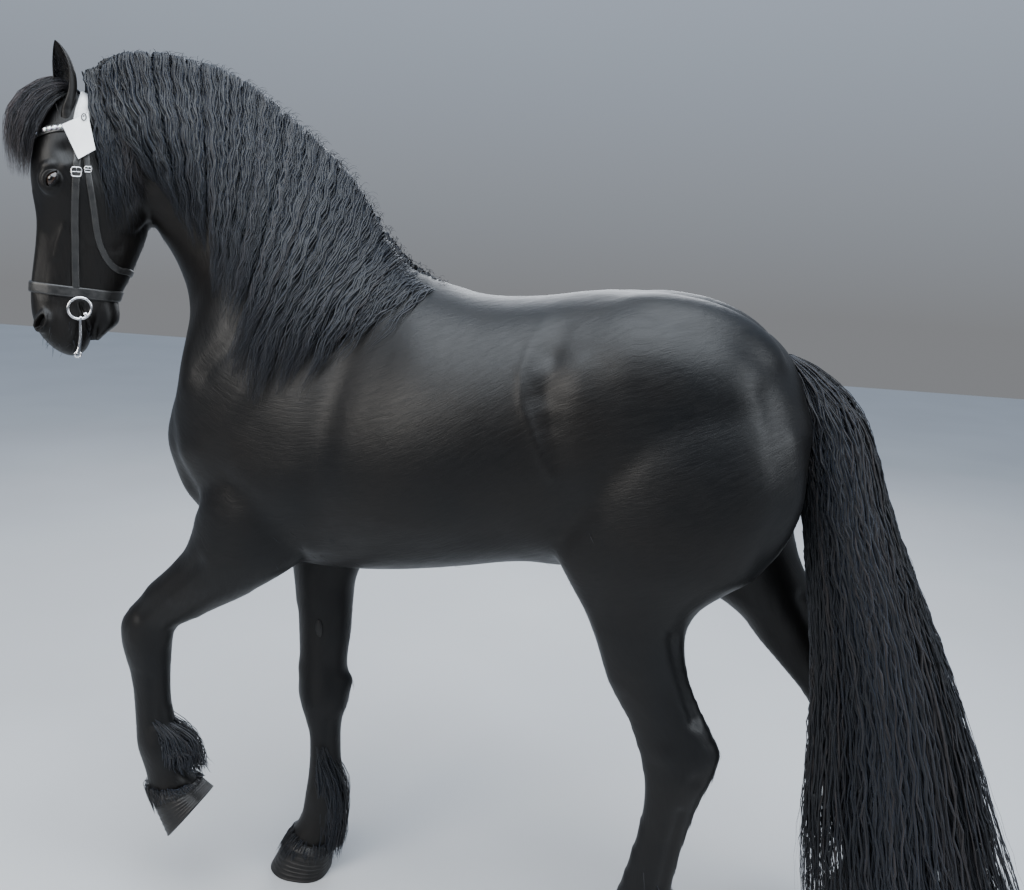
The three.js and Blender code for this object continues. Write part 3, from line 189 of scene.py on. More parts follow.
HIND_BACK = [
    (-262, 1420, -560, 1455, 150, 96),
    (-236, 1310, -686, 1350, 152, 130),
    (-232, 1190, -736, 1225, 158, 149),
    (-250, 1090, -740, 1120, 164, 148),
    (-300, 995, -742, 1020, 168, 130),
    (-372, 925, -760, 940, 170, 108),
    (-460, 872, -790, 872, 170, 92),
    (-548, 826, -818, 818, 170, 78),
    (-622, 778, -842, 776, 170, 66),
    (-678, 714, -872, 738, 170, 56),
    (-726, 662, -916, 700, 170, 51),
    (-780, 604, -954, 660, 170, 50),
    (-812, 556, -968, 614, 170, 51),
    (-832, 508, -962, 560, 169, 50),
    (-846, 462, -957, 500, 168, 44),
    (-861, 405, -966, 430, 167, 38),
    (-877, 350, -981, 368, 166, 37),
    (-893, 300, -999, 306, 165, 38),
    (-902, 250, -1019, 248, 164, 44),
    (-899, 206, -1026, 198, 163, 48),
    (-884, 164, -1002, 150, 162, 45),
    (-862, 122, -970, 106, 161, 44),
    (-838, 86, -958, 66, 160, 53),
]
HOOF_FORM = [0.52, 2.0, 2.8]  # where a hoof is widest, and how square its front and back are

# Each hoof from the coronet to the ground, as leg stations, with its side.
HOOVES = {
    "fore_left": ((790, 268, 672, 298, 142, 55), (727, 168, 640, 280, 142, 64), 1),
    "fore_right": ((508, 86, 388, 66, 65, 55), (551, 0, 394, 0, 64, 68), -1),
    "hind_left": ((-296, 86, -418, 66, 180, 54), (-252, 0, -408, 0, 180, 65), 1),
    "hind_right": ((-838, 86, -958, 66, 160, 54), (-794, 0, -950, 0, 160, 65), -1),
}

rng = np.random.default_rng(7)


# Frames and smooth shapes

def packed_shift():
    low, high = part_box("hoof_fore_right")
    middle = (np.array(low) + np.array(high)) / 2 * 1000
    return np.array([middle[0] - SOLE_MIDDLE[0], middle[1] - SOLE_MIDDLE[1], 0.0])


SHIFT = packed_shift()


def place(points):
    """Millimetres in the horse's frame to metres in the shared frame."""
    return (np.asarray(points, float) + SHIFT) / 1000


def around(sides):
    """Even turns round a circle."""
    return 2 * np.pi * np.arange(sides) / sides


def unit(vectors):
    vectors = np.asarray(vectors, float)
    return vectors / np.maximum(np.linalg.norm(vectors, axis=-1, keepdims=True), 1e-9)


def catmull(rows, steps):
    """A smooth run through the rows, with this many steps between two of them."""
    rows = np.asarray(rows, float)
    padded = np.vstack([2 * rows[0] - rows[1], rows, 2 * rows[-1] - rows[-2]])
    t = (np.arange(steps) / steps)[:, None, None]
    p0, p1, p2, p3 = padded[:-3], padded[1:-2], padded[2:-1], padded[3:]
    run = 0.5 * (
        2 * p1 + (p2 - p0) * t + (2 * p0 - 5 * p1 + 4 * p2 - p3) * t**2
        + (3 * p1 - p0 - 3 * p2 + p3) * t**3
    )
    run = run.transpose(1, 0, 2).reshape(-1, rows.shape[1])
    return np.vstack([run, rows[-1]])


def stations(rows, kind):
    """Fills a table's rows up to: fore x, z, aft x, z, y, half, mid, up, low."""
    rows = np.array(rows, float)
    if kind == "leg":
        square = np.tile([0.5, 2.0, 2.0], (len(rows), 1))
        return np.hstack([rows, square])
    return np.insert(rows, 4, 0.0, axis=1)


def rings(rows, sides, grow=0.0, steps=6):
    """Smooth rings across a body part. The front or top point comes first, the left next."""
    rows = catmull(rows, steps)
    fore, aft = rows[:, 0:2], rows[:, 2:4]
    reach = unit(fore - aft) * grow
    fore, aft = fore + reach, aft - reach
    y, half, mid, up, low = (rows[:, i : i + 1] for i in range(4, 9))
    centre = aft + (fore - aft) * mid
    angle = around(sides)
    c, s = np.cos(angle)[None], np.sin(angle)[None]
    power = 2 / np.where(c > 0, up, low)
    along = (np.abs(c) ** power)[..., None]
    end = np.where((c > 0)[..., None], fore[:, None], aft[:, None])
    side = centre[:, None] + (end - centre[:, None]) * along
    out = y + (half + grow) * np.sign(s) * np.abs(s) ** power
    return np.stack([side[..., 0], out, side[..., 1]], axis=-1)


def loft(points):
    """Rings to vertices and faces, closed by a fan at both ends."""
    count, sides = points.shape[:2]
    ends = points[[0, -1]].mean(axis=1)
    vertices = np.vstack([points.reshape(-1, 3), ends])
    base = np.arange((count - 1) * sides)
    nxt = base // sides * sides + (base % sides + 1) % sides
    faces = np.stack([base, nxt, nxt + sides, base + sides], axis=1).tolist()
    first = count * sides
    for k in range(sides):
        after = (k + 1) % sides
        faces.append([first, after, k])
        faces.append([first + 1, first - sides + k, first - sides + after])
    return vertices, faces


def ellipsoid(centre, radii, tilt, sides=36):
    """An ellipsoid in the straight horse, tilted about the Y axis."""
    down, angle = np.pi * (np.arange(sides // 2 - 1) + 1) / (sides // 2), around(sides)
    ball = np.stack(
        [np.outer(np.sin(down), np.cos(angle)), np.outer(np.sin(down), np.sin(angle)),
         np.outer(np.cos(down), np.ones(sides))], axis=-1) * radii
    c, s = np.cos(tilt), np.sin(tilt)
    x, z = ball[..., 0] * c + ball[..., 2] * s, ball[..., 2] * c - ball[..., 0] * s
    return loft(np.stack([x, ball[..., 1], z], axis=-1) + centre)


# The bend of the neck
RUN = POLL - NECK_BASE
BEND_STEPS = 200
TURN_POWER = 0.75  # below 1 the neck turns more at its base
BEND_SHARES = np.arange(BEND_STEPS + 1) / BEND_STEPS
BEND_TURNS = NECK_TURN * ((np.arange(BEND_STEPS) + 0.5) / BEND_STEPS) ** TURN_POWER
BEND_X = NECK_BASE[0] + np.append(0, np.cumsum(np.cos(BEND_TURNS))) * RUN[0] / BEND_STEPS
BEND_Y = np.append(0, np.cumsum(np.sin(BEND_TURNS))) * RUN[0] / BEND_STEPS


def neck_share(x, z):
    share = ((x - NECK_BASE[0]) * RUN[0] + (z - NECK_BASE[1]) * RUN[1]) / (RUN @ RUN)
    return np.clip(share, 0, 1)


def bend_by(points, share):
    turn = NECK_TURN * share**TURN_POWER
    ahead = points[..., 0] - (NECK_BASE[0] + RUN[0] * share)
    x = np.interp(share, BEND_SHARES, BEND_X) + ahead * np.cos(turn) - points[..., 1] * np.sin(turn)
    y = np.interp(share, BEND_SHARES, BEND_Y) + ahead * np.sin(turn) + points[..., 1] * np.cos(turn)
    return np.stack([x, y, points[..., 2]], axis=-1)


def bend(points):
    points = np.asarray(points, float)
    share = neck_share(points[..., 0], points[..., 2])
    return np.where((share > 0)[..., None], bend_by(points, share), points)


def unbend(points):
    """Back from the bent horse to the straight one, by repeated guesses."""
    guess = points[..., 0].copy()
    for _ in range(14):  # enough for the guess to settle
        share = neck_share(guess, points[..., 2])
        turn = NECK_TURN * share**TURN_POWER
        dx = points[..., 0] - np.interp(share, BEND_SHARES, BEND_X)
        dy = points[..., 1] - np.interp(share, BEND_SHARES, BEND_Y)
        guess = NECK_BASE[0] + RUN[0] * share + dx * np.cos(turn) + dy * np.sin(turn)
    y = np.where(share > 0, dy * np.cos(turn) - dx * np.sin(turn), points[..., 1])
    x = np.where(share > 0, guess, points[..., 0])
    return np.stack([x, y, points[..., 2]], axis=-1)


def bend_head(points):
    points = np.asarray(points, float)
    return bend_by(points, np.ones(points.shape[:-1]))


def turn_head(vectors):
    """A direction in the head's own frame, turned with the neck."""
    vectors = np.asarray(vectors, float)
    c, s = np.cos(NECK_TURN), np.sin(NECK_TURN)
    x, y = vectors[..., 0], vectors[..., 1]
    return np.stack([x * c - y * s, x * s + y * c, vectors[..., 2]], axis=-1)


def from_poll(points):
    """Places given ahead, out to the left and up from the poll, in the bent horse."""
    points = np.asarray(points, float)
    return bend_head(points + HEAD_ORIGIN)


def to_poll(points):
    """Places in the bent horse, measured from the poll in the head's own frame."""
    c, s = np.cos(NECK_TURN), np.sin(NECK_TURN)
    dx, dy = points[..., 0] - BEND_X[-1], points[..., 1] - BEND_Y[-1]
    ahead, side = dx * c + dy * s, dy * c - dx * s
    return np.stack([ahead - HEAD_AHEAD, side, points[..., 2] - POLL[1]], axis=-1)


def head_rows(rows):
    rows = stations(rows, "trunk")
    rows[:, [0, 2]] += HEAD_ORIGIN[0]
    rows[:, [1, 3]] += HEAD_ORIGIN[2]
    return rows


# Mesh helpers

def mesh_of(name, vertices, faces):
    mesh = bpy.data.meshes.new(name)
    mesh.from_pydata(np.asarray(vertices).tolist(), [], [list(f) for f in faces])
    mesh.update()
    return mesh


def merged(parts):
    vertices, faces, start = [], [], 0
    for part_vertices, part_faces in parts:
        vertices.append(np.asarray(part_vertices))
        faces += [[i + start for i in face] for face in part_faces]
        start += len(part_vertices)
    return np.vstack(vertices), faces


def read(items, name, width, kind=float):
    """One property of every vertex, edge or corner, a row for each."""
    values = np.empty(len(items) * width, kind)
    items.foreach_get(name, values)
    return values.reshape(-1, width)


def numpy_of(mesh):
    return read(mesh.vertices, "co", 3)


def edges_of(mesh):
    return read(mesh.edges, "vertices", 2, np.int32)


def normals_of(mesh):
    return read(mesh.vertex_normals, "vector", 3)


def faces_of(mesh):
    return [tuple(polygon.vertices) for polygon in mesh.polygons]


def set_points(mesh, points):
    mesh.vertices.foreach_set("co", np.ascontiguousarray(points).ravel())
    mesh.update()


def set_value(mesh, name, values):
    """A named value at every vertex, which the looks read."""
    data = mesh.attributes.new(name, "FLOAT", "POINT").data
    data.foreach_set("value", np.asarray(values, np.float32))


def new_object(name, data):
    """An object with this mesh, lamp or camera, placed in the scene."""
    thing = bpy.data.objects.new(name, data)
    bpy.context.collection.objects.link(thing)
    return thing


def remeshed(name, parts, voxel):
    """The union of closed pieces as one even mesh."""
    whole = new_object(name, mesh_of(name, *merged(parts)))
    modifier = whole.modifiers.new("union", "REMESH")
    modifier.mode = "VOXEL"
    modifier.voxel_size = voxel
    modifier.adaptivity = 0
    graph = bpy.context.evaluated_depsgraph_get()
    mesh = bpy.data.meshes.new_from_object(whole.evaluated_get(graph))
    bpy.data.objects.remove(whole)
    return mesh


def smoothed(points, edges, times, share=None):
    """Evens a mesh out without shrinking it, a step inwards and a step back each time."""
    both = np.concatenate([edges, edges[:, ::-1]])
    count = np.bincount(both[:, 0], minlength=len(points))[:, None]
    weight = 1.0 if share is None else share[:, None]
    for step in np.tile([0.5, -0.52], times):
        total = np.stack(
            [np.bincount(both[:, 0], points[both[:, 1], i], len(points)) for i in range(3)], axis=1)
        points = points + step * weight * (total / count - points)
    return points


def add_piece(name, mesh, material, replaces=(), smooth=True):
    """Moves a mesh to the shared frame and makes it a piece of the dressed horse."""
    set_points(mesh, place(numpy_of(mesh)))
    if smooth:
        mesh.polygons.foreach_set("use_smooth", np.ones(len(mesh.polygons), bool))
    mesh.materials.append(material)
    piece = new_object(name, mesh)
    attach(piece, "root")
    if replaces:
        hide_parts(*replaces)
    return piece


def tree_of(vertices, faces):
    return BVHTree.FromPolygons(np.asarray(vertices).tolist(), [list(f) for f in faces])


def fade(value, low, high):
    """0 below low, 1 above high, and smooth between them."""
    t = np.clip((value - low) / (high - low), 0, 1)
    return t * t * (3 - 2 * t)


def line_distance(points, line, squash):
    """Distance from each point to a line of points, with the Y direction made shorter."""
    best = np.full(len(points), 1e9)
    scale = np.array([1.0, squash, 1.0])
    points = points * scale
    line = np.asarray(line, float) * scale
    if len(line) == 1:
        return np.linalg.norm(points - line[0], axis=1)
    for a, b in zip(line[:-1], line[1:]):
        t = np.clip((points - a) @ (b - a) / ((b - a) @ (b - a)), 0, 1)
        best = np.minimum(best, np.linalg.norm(points - a - t[:, None] * (b - a), axis=1))
    return best


def relief(points, forms, squash=0.35):
    """The sum of soft ridges and hollows. Each form is a line, its reach and its height."""
    height = np.zeros(len(points))
    for line, reach, rise in forms:
        near = line_distance(points, line, squash) / reach
        height += rise * np.exp(-near * near)
    return height


def on_side(spot, side):
    """A place on the left, or the same place on the right."""
    return np.array(spot) * [1, side, 1]


def both_sides(forms):
    other = [([(x, -y, z) for x, y, z in line], reach, rise) for line, reach, rise in forms]
    return list(forms) + other


# The skin: the union of fine lofts, then its muscles, joints and face.
# Round forms have a centre, three radii and a tilt.
SHOULDER = ((480, 165, 1170), (190, 104, 270), 0.5)
CHEEK = ((-28, 48, -205), (88, 42, 98), 0.15)
MUSCLES = [
    ((676, 92, 1120), (110, 104, 170), 0.2),
    SHOULDER,
    ((-440, 112, 1436), (250, 132, 142), -0.12),
]
LEGS = {
    "fore_left": (FORE_RAISED, 1),
    "fore_right": (FORE_PLANTED, -1),
    "hind_left": (HIND_FORWARD, 1),
    "hind_right": (HIND_BACK, -1),
}
# The edge of the fold in front of the thigh
FLANK_FOLD = [(-158, 210, 1535), (-138, 262, 1470), (-124, 285, 1394), (-132, 285, 1330),
              (-158, 285, 1265), (-200, 285, 1180)]
# Lines in side view with the distance to the side, then reach and height
BODY_FORMS = both_sides([
    ([(350, 110, 1560), (470, 190, 1380), (640, 205, 1150)], 34, 7),
    ([(290, 220, 1480), (325, 280, 1260), (345, 275, 1060)], 46, -8),
    ([(425, 250, 1080)], 80, 13),
    ([(690, 180, 1130)], 42, 9),
    ([(770, 95, 1290), (735, 150, 1150), (690, 160, 1010)], 22, -11),
    ([(790, 62, 1140)], 62, 10),
    ([(905, 55, 1660), (838, 84, 1520), (800, 96, 1400), (785, 92, 1310)], 20, -7),
    ([(915, 85, 1720), (800, 140, 1480), (705, 190, 1300)], 38, 7),
    ([(430, 110, 1690), (540, 180, 1500), (650, 200, 1330)], 32, -7),
    (FLANK_FOLD, 12, 4),
    ([(-196, 235, 1490), (-180, 262, 1440)], 30, -3.5),
    ([(-178, 275, 1430), (-172, 285, 1350)], 34, -5.5),
    ([(-176, 285, 1350), (-190, 285, 1290)], 30, -4.5),
    ([(-194, 285, 1285), (-212, 285, 1230)], 24, -3),
    ([(-245, 275, 1400), (-252, 285, 1300), (-262, 280, 1180)], 40, 5),
    ([(-205, 235, 1010)], 46, 9),
    ([(-640, 205, 1380), (-690, 225, 1190), (-650, 225, 1010)], 26, -6),
    ([(-722, 110, 1290)], 44, 9),
    ([(380, 225, 950)], 34, 8),
    ([(250, 255, 960), (80, 285, 985), (-80, 290, 1035)], 42, -5),
    ([(160, 200, 1010), (20, 240, 1000)], 90, 3),
]) + [
    ([(815, 0, 1290), (806, 0, 1150), (760, 0, 1010)], 22, -15),
    ([(-300, 0, 1590), (-480, 0, 1570), (-620, 0, 1515)], 24, -9),
    ([(60, 0, 1556), (-250, 0, 1582)], 22, -4),
    ([(-200, 0, 905)], 62, 12),
]
# The same for the legs, left legs as they stand and right legs mirrored
LEG_FORMS = {
    "fore_left": [
        ([(735, 175, 850), (800, 172, 785)], 32, 6),
        ([(640, 235, 880), (730, 222, 800), (812, 205, 720)], 15, -6),
        ([(560, 150, 800), (680, 150, 735)], 26, 5),
        ([(880, 176, 690)], 27, 4), ([(880, 126, 690)], 27, 4), ([(876, 150, 640)], 22, 3),
        ([(742, 165, 655)], 20, 9),
        ([(778, 188, 560), (772, 186, 450)], 10, -5), ([(778, 108, 560), (772, 106, 450)], 10, -5),
        ([(770, 192, 392)], 27, 3), ([(770, 98, 392)], 27, 3), ([(708, 145, 385)], 20, 6),
        ([(695, 144, 335)], 16, -5), ([(838, 145, 300), (800, 145, 262)], 14, 3),
    ],
    "fore_right": [
        ([(560, 130, 830), (535, 115, 700)], 34, 5),
        ([(470, 215, 900), (450, 190, 780), (440, 170, 650)], 14, -7),
        ([(400, 140, 800)], 34, 6),
        ([(520, 128, 520)], 27, 4), ([(520, 76, 520)], 27, 4), ([(512, 100, 460)], 20, 3),
        ([(374, 108, 490)], 20, 9),
        ([(412, 128, 400), (408, 118, 270)], 10, -5), ([(412, 52, 400), (408, 46, 270)], 10, -5),
        ([(414, 124, 208)], 27, 3), ([(414, 30, 208)], 27, 3), ([(356, 74, 205)], 20, 6),
        ([(362, 70, 150)], 15, -4), ([(492, 66, 100)], 14, 3),
    ],
    "hind_left": [
        ([(-330, 240, 830), (-350, 225, 740)], 36, 6),
        ([(-470, 235, 850), (-497, 222, 760), (-528, 212, 670)], 17, -9),
        ([(-470, 125, 850), (-497, 138, 760), (-528, 146, 670)], 17, -9),
        ([(-592, 181, 590)], 20, 7), ([(-462, 230, 590)], 24, 6), ([(-455, 132, 590)], 24, 6),
        ([(-535, 226, 545)], 16, -5), ([(-535, 136, 545)], 16, -5),
        ([(-505, 220, 470), (-474, 216, 290)], 10, -5), ([(-505, 142, 470), (-474, 146, 290)], 10, -5),
        ([(-430, 228, 205)], 27, 3), ([(-430, 132, 205)], 27, 3), ([(-488, 180, 205)], 20, 6),
        ([(-462, 180, 150)], 15, -4), ([(-322, 180, 105)], 14, 3),
    ],
    "hind_right": [
        ([(-610, 225, 800), (-680, 215, 725)], 36, 6),
        ([(-770, 225, 850), (-820, 215, 760), (-890, 205, 700)], 17, -9),
        ([(-770, 118, 850), (-820, 130, 760), (-890, 138, 700)], 17, -9),
        ([(-974, 170, 620)], 20, 7), ([(-850, 220, 600)], 24, 6), ([(-842, 122, 600)], 24, 6),
        ([(-920, 218, 560)], 16, -5), ([(-920, 124, 560)], 16, -5),
        ([(-920, 206, 470), (-952, 202, 300)], 10, -5), ([(-920, 130, 470), (-952, 130, 300)], 10, -5),
        ([(-966, 210, 212)], 27, 3), ([(-966, 116, 212)], 27, 3), ([(-1024, 163, 210)], 20, 6),
        ([(-1008, 162, 150)], 15, -4), ([(-866, 161, 105)], 14, 3),
    ],
}
# Forms of the face, ahead of the poll, out to the side and up, then reach and height
FACE_FORMS = both_sides([
    ([(58, 66, -215), (80, 60, -290), (92, 55, -345)], 9, 5.5),
    ([(78, 96, -128), (40, 88, -108), (4, 72, -92)], 13, 5),
    ([(84, 80, -92)], 17, -8),
    ([(62, 66, -255), (22, 64, -312), (-44, 52, -318)], 13, -5),
    ([(141, 27, -190), (139, 25, -300), (142, 26, -430)], 9, 3),
    ([(118, 50, -290), (124, 46, -430)], 13, -4.5),
    ([(40, 52, -360), (30, 48, -430)], 22, -4),
    ([(74, 40, -545)], 20, 4),
    ([(-52, 22, -440)], 14, -4),
    ([(74, 66, -262), (96, 56, -325), (112, 50, -395), (100, 47, -452)], 4.5, 2),
    ([(58, 62, -270), (70, 55, -350), (66, 50, -420)], 4, 1.6),
    ([(20, 52, -448), (24, 50, -468)], 5, -2),
    ([(-60, 66, -230), (-20, 84, -160)], 30, 3),
])
MOUTH = [(33, 56, -457), (14, 44, -508), (2, 36, -536), (-5, 20, -556), (-6, 0, -561)]
MOUTH = MOUTH + [(x, -y, z) for x, y, z in MOUTH[-2::-1]]
HEAD_EDGE = np.array([[6, 70], [-128, -300]])  # poll to throat, in the head's side view
NOSTRIL = (118, 54, -503)
LID = 3.4  # how far the lids lie over the eyeball
LID_HALF = 20.5  # half the length of the opening between the lids
LID_UP, LID_DOWN = 11.5, 8.5  # its reach above and below the eye's long axis


def head_parts(grow):
    parts = []
    for rows, sides in ((HEAD, 72), (LOWER_LIP, 48)):
        parts.append(loft(bend_head(rings(head_rows(rows), sides, grow))))
    solids = [CHEEK, ((104, 74, -128), (34, 26, 22), 0.3),
              ((101, 78, -160), (EYE_RADIUS + 15, EYE_RADIUS + 2, EYE_RADIUS + 18), 0),
              ((108, 40, -500), (25, 21, 32), -0.35)]
    for side in (-1, 1):
        for (x, y, z), radii, tilt in solids:
            vertices, faces = ellipsoid((x, y * side, z) + HEAD_ORIGIN, np.array(radii) + grow, tilt)
            parts.append((bend_head(vertices), faces))
    return parts


def body_parts(grow):
    parts = [loft(bend(rings(stations(TRUNK, "trunk"), 96, grow)))]
    for rows, side in LEGS.values():
        points = rings(stations(rows, "leg"), 48, 1 - COAT_DEPTH) * [1, side, 1]
        parts.append(loft(points[:, ::side]))
    for (x, y, z), radii, tilt in MUSCLES:
        for side in (-1, 1):
            parts.append(ellipsoid((x, y * side, z), np.array(radii) + grow, tilt))
    return parts + head_parts(grow + 1)


def head_depth(local):
    """How far a place lies on the head's side of the line from poll to throat."""
    (x0, z0), (x1, z1) = HEAD_EDGE
    length = np.hypot(x1 - x0, z1 - z0)
    return ((local[:, 0] - x0) * (z0 - z1) - (local[:, 2] - z0) * (x0 - x1)) / length


def refine(mesh, wanted):
    """Splits the faces in a region into four."""
    grid = bmesh.new()
    grid.from_mesh(mesh)
    centres = np.array([face.calc_center_median() for face in grid.faces])
    chosen = wanted(centres)
    edges = {edge for face, yes in zip(grid.faces, chosen) if yes for edge in face.edges}
    bmesh.ops.subdivide_edges(grid, edges=list(edges), cuts=1, use_grid_fill=True)
    grid.to_mesh(mesh)
    grid.free()
    mesh.update()


def in_head(points):
    local = to_poll(points)
    above = (points[:, 2] > POLL[1] - 640) & (local[:, 0] > -190) & (points[:, 0] > 800)
    return above & (head_depth(local) > -30)


def in_fine_leg(points):
    return points[:, 2] < 745


def near_fold(points):
    straight = unbend(points)
    straight[:, 1] = np.abs(straight[:, 1])
    return line_distance(straight, np.array(FLANK_FOLD, float) - [20, 0, 0], 0.6) < 62


def near_features(points, reach=1.0):
    local = to_poll(points)
    side = np.abs(local[:, 1:2])
    local = np.hstack([local[:, :1], side, local[:, 2:]])
    near_eye = np.linalg.norm(local - EYE_AT, axis=1) < 52 * reach
    near_nose = np.linalg.norm(local - (118, 50, -503), axis=1) < 44 * reach
    near_mouth = line_distance(local, MOUTH[:5], 1.0) < 24 * reach
    return near_eye | near_nose | near_mouth


def square_ways(out, long):
    """Three square directions: outwards, close to the second one, and across both."""
    out, long = unit(out), np.array(long)
    long = unit(long - out * (long @ out))
    return out, long, np.cross(out, long)


def eye_frame(side):
    """The eye's outward way, its long axis towards the muzzle and the way to the face line."""
    out, long, across = square_ways([0.36, 0.93 * side, 0.06], [0.5, 0, -0.86])
    return out, long, across * side


def eye_centre(side):
    return on_side(EYE_AT, side)


def lid_arch(a):
    """How far the lids are apart along the eye, as a share of the most."""
    return np.clip(1 - (a / LID_HALF) ** 2, 0, 1) ** 0.75


def shape_lids(local):
    """Skin over the eyeball with an almond left open between the lids."""
    for side in (-1, 1):
        out, long, across = eye_frame(side)
        from_eye = local - eye_centre(side)
        a, b, w = from_eye @ long, from_eye @ across, from_eye @ out
        r = np.hypot(a, b)
        lids, socket = (np.sqrt(np.clip((EYE_RADIUS + more) ** 2 - r * r, 0, None)) for more in (LID, -3))
        near = (1 - fade(r, 16, 27)) * (w > 0)
        arch = lid_arch(a)
        edge = np.where(b > 0, b - LID_UP * arch, -b - LID_DOWN * arch)
        past = np.abs(a) - LID_HALF
        edge = np.where(np.abs(a) > LID_HALF, np.maximum(edge, past), edge)
        crease = -1.6 * np.exp(-((edge - 8) / 2.2) ** 2) * (b > 0)
        fold = crease + 1.3 * np.exp(-((edge - 2) / 2) ** 2)
        inside = 1 - fade(edge, -1.6, 0.4)
        target = (lids + fold) * (1 - inside) + socket * inside
        local = local + (near * (target - w))[:, None] * out
    return local


def shape_nostrils(local):
    for side in (-1, 1):
        out, long, across = square_ways([0.52, 0.85 * side, -0.08], [-0.48, 0, 0.88])
        offset = local - on_side(NOSTRIL, side)
        a, b, w = offset @ long, offset @ across, offset @ out
        bow = b - side * 0.012 * a * a
        e = np.hypot(a / 20, bow / 9)
        near = (np.abs(w) < 26) & (local[:, 1] * side > 5)
        depth = -15 * (1 - fade(e, 0.55, 1.1)) + 3.2 * np.exp(-((e - 1.35) / 0.3) ** 2)
        local = local + (near * depth)[:, None] * out
    return local


def head_shape():
    """The finest form of the head and the top of the neck, which the skin takes over."""
    neck = loft(bend(rings(stations(TRUNK, "trunk")[16:], 96, -COAT_DEPTH)))
    mesh = remeshed("head form", head_parts(1 - COAT_DEPTH) + [neck], HEAD_VOXEL)
    points = smoothed(numpy_of(mesh), edges_of(mesh), 10)
    return tree_of(points, faces_of(mesh))


def raise_body(mesh, points):
    """Muscles, hollows and joints of the body and legs, placed in the straight horse."""
    straight = unbend(points)
    set_points(mesh, points)
    normals = normals_of(mesh)
    head_share = fade(head_depth(to_poll(points)), -25, 15) * in_head(points)
    height = relief(straight, BODY_FORMS) * (1 - head_share)
    for name, (_, side) in LEGS.items():
        local = straight * [1, side, 1]
        mine = (local[:, 1] > -12) & (straight[:, 2] < 1000)
        ahead = straight[:, 0] - FORE_FROM
        mine &= ahead > 0 if name.startswith("fore") else ahead < 0
        height[mine] += relief(local[mine], LEG_FORMS[name], 0.8)
    return points + normals * height[:, None]


def shape_head(mesh, points):
    """The head takes its finer form, then its bones and veins, lids, nostrils and mouth."""
    set_points(mesh, points)
    tree = head_shape()
    share = fade(head_depth(to_poll(points)), -25, 25) * in_head(points)
    for i in np.nonzero(share > 0)[0]:
        found = tree.find_nearest(Vector(points[i]))[0]
        points[i] += share[i] * (np.array(found) - points[i])
    set_points(mesh, points)
    refine(mesh, lambda p: in_head(p) & near_features(p))
    refine(mesh, lambda p: in_head(p) & near_features(p, 0.62))
    points = numpy_of(mesh)
    face = in_head(points) & (head_depth(to_poll(points)) > 0)
    points = smoothed(points, edges_of(mesh), 3, face.astype(float))
    for i in np.nonzero(face & near_features(points, 1.15))[0]:
        points[i] = tree.find_nearest(Vector(points[i]))[0]
    set_points(mesh, points)
    local = to_poll(points)
    rise = relief(local, FACE_FORMS, 0.8) + relief(local, [(MOUTH, 3.6, -7), (MOUTH, 11, 2)], 0.9)
    points = np.where(face[:, None], points + normals_of(mesh) * rise[:, None], points)
    shaped = from_poll(shape_nostrils(shape_lids(to_poll(points))))
    set_points(mesh, np.where(face[:, None], shaped, points))


def skin_mesh():
    mesh = remeshed("skin", body_parts(-COAT_DEPTH), VOXEL)
    set_points(mesh, smoothed(numpy_of(mesh), edges_of(mesh), 22))
    refine(mesh, lambda p: in_head(p) | in_fine_leg(p) | near_fold(p))
    points = smoothed(numpy_of(mesh), edges_of(mesh), 4)
    shape_head(mesh, raise_body(mesh, points))
    return mesh


# Ears: cupped shells with a thin rim, part of the skin's mesh
EAR_SHARES = [-0.34, -0.16, 0.0, 0.1, 0.24, 0.42, 0.6, 0.76, 0.88, 0.96, 1.0]
EAR_WIDTHS = [27, 23, 21, 24.5, 28.5, 31, 29.5, 24.5, 16.5, 8, 1.4]
EAR_ARCS = [175, 174, 168, 150, 126, 112, 104, 98, 92, 86, 80]  # half angle of the shell
EAR_DEEP = 0.78  # the shell's depth as a share of its half width


def ear_axes(side):
    base = np.array([84.0, 54.0 * side, 2.0])
    tip = np.array([108.0, 50.0 * side, 6.0 + EAR_LENGTH])
    opens = unit([0.72, 0.69 * side, -0.2])
    axis = unit(tip - base)
    broad = np.cross(axis, opens)
    return base, tip, unit(broad), unit(np.cross(broad, axis))


def ear_middle(side, share):
    """The ear's middle line, which curves back between its base and its tip."""
    base, tip, _, deep = ear_axes(side)
    return base + (tip - base) * share + deep * (6 * share - 12 * np.sin(np.pi * np.clip(share, 0, 1)))


def ear_shell(side):
    _, _, broad, deep = ear_axes(side)
    table = catmull(np.stack([EAR_SHARES, EAR_WIDTHS, EAR_ARCS], axis=1), 5)
    rows = []
    for share, width, arc in table:
        centre = ear_middle(side, share) - np.array([0, 4.0 * side, 0]) * fade(share, 0.6, 1.0)
        arc = np.radians(arc)
        turn = np.linspace(-arc, arc, 25)
        thick = 2.6 - 1.2 * np.abs(turn / arc) ** 4
        curl = 1 - 0.12 * np.abs(turn / arc) ** 6
        ring = []
        for inner in (0, 1):
            size = np.maximum(width - inner * thick, 0.3)
            line = (centre + np.outer(np.sin(turn) * size * curl, broad)
                    - np.outer(np.cos(turn) * size * EAR_DEEP, deep))
            ring.append(line if not inner else line[::-1])
        rows.append(np.vstack(ring))
    return loft(from_poll(np.array(rows))[:, ::side])


def add_ears(mesh):
    """The skin's mesh with both ears added, and how many of its vertices are not of the ears."""
    parts = [(numpy_of(mesh), faces_of(mesh))] + [ear_shell(side) for side in (1, -1)]
    vertices, faces = merged(parts)
    return mesh_of("skin", vertices, faces), len(parts[0][0])


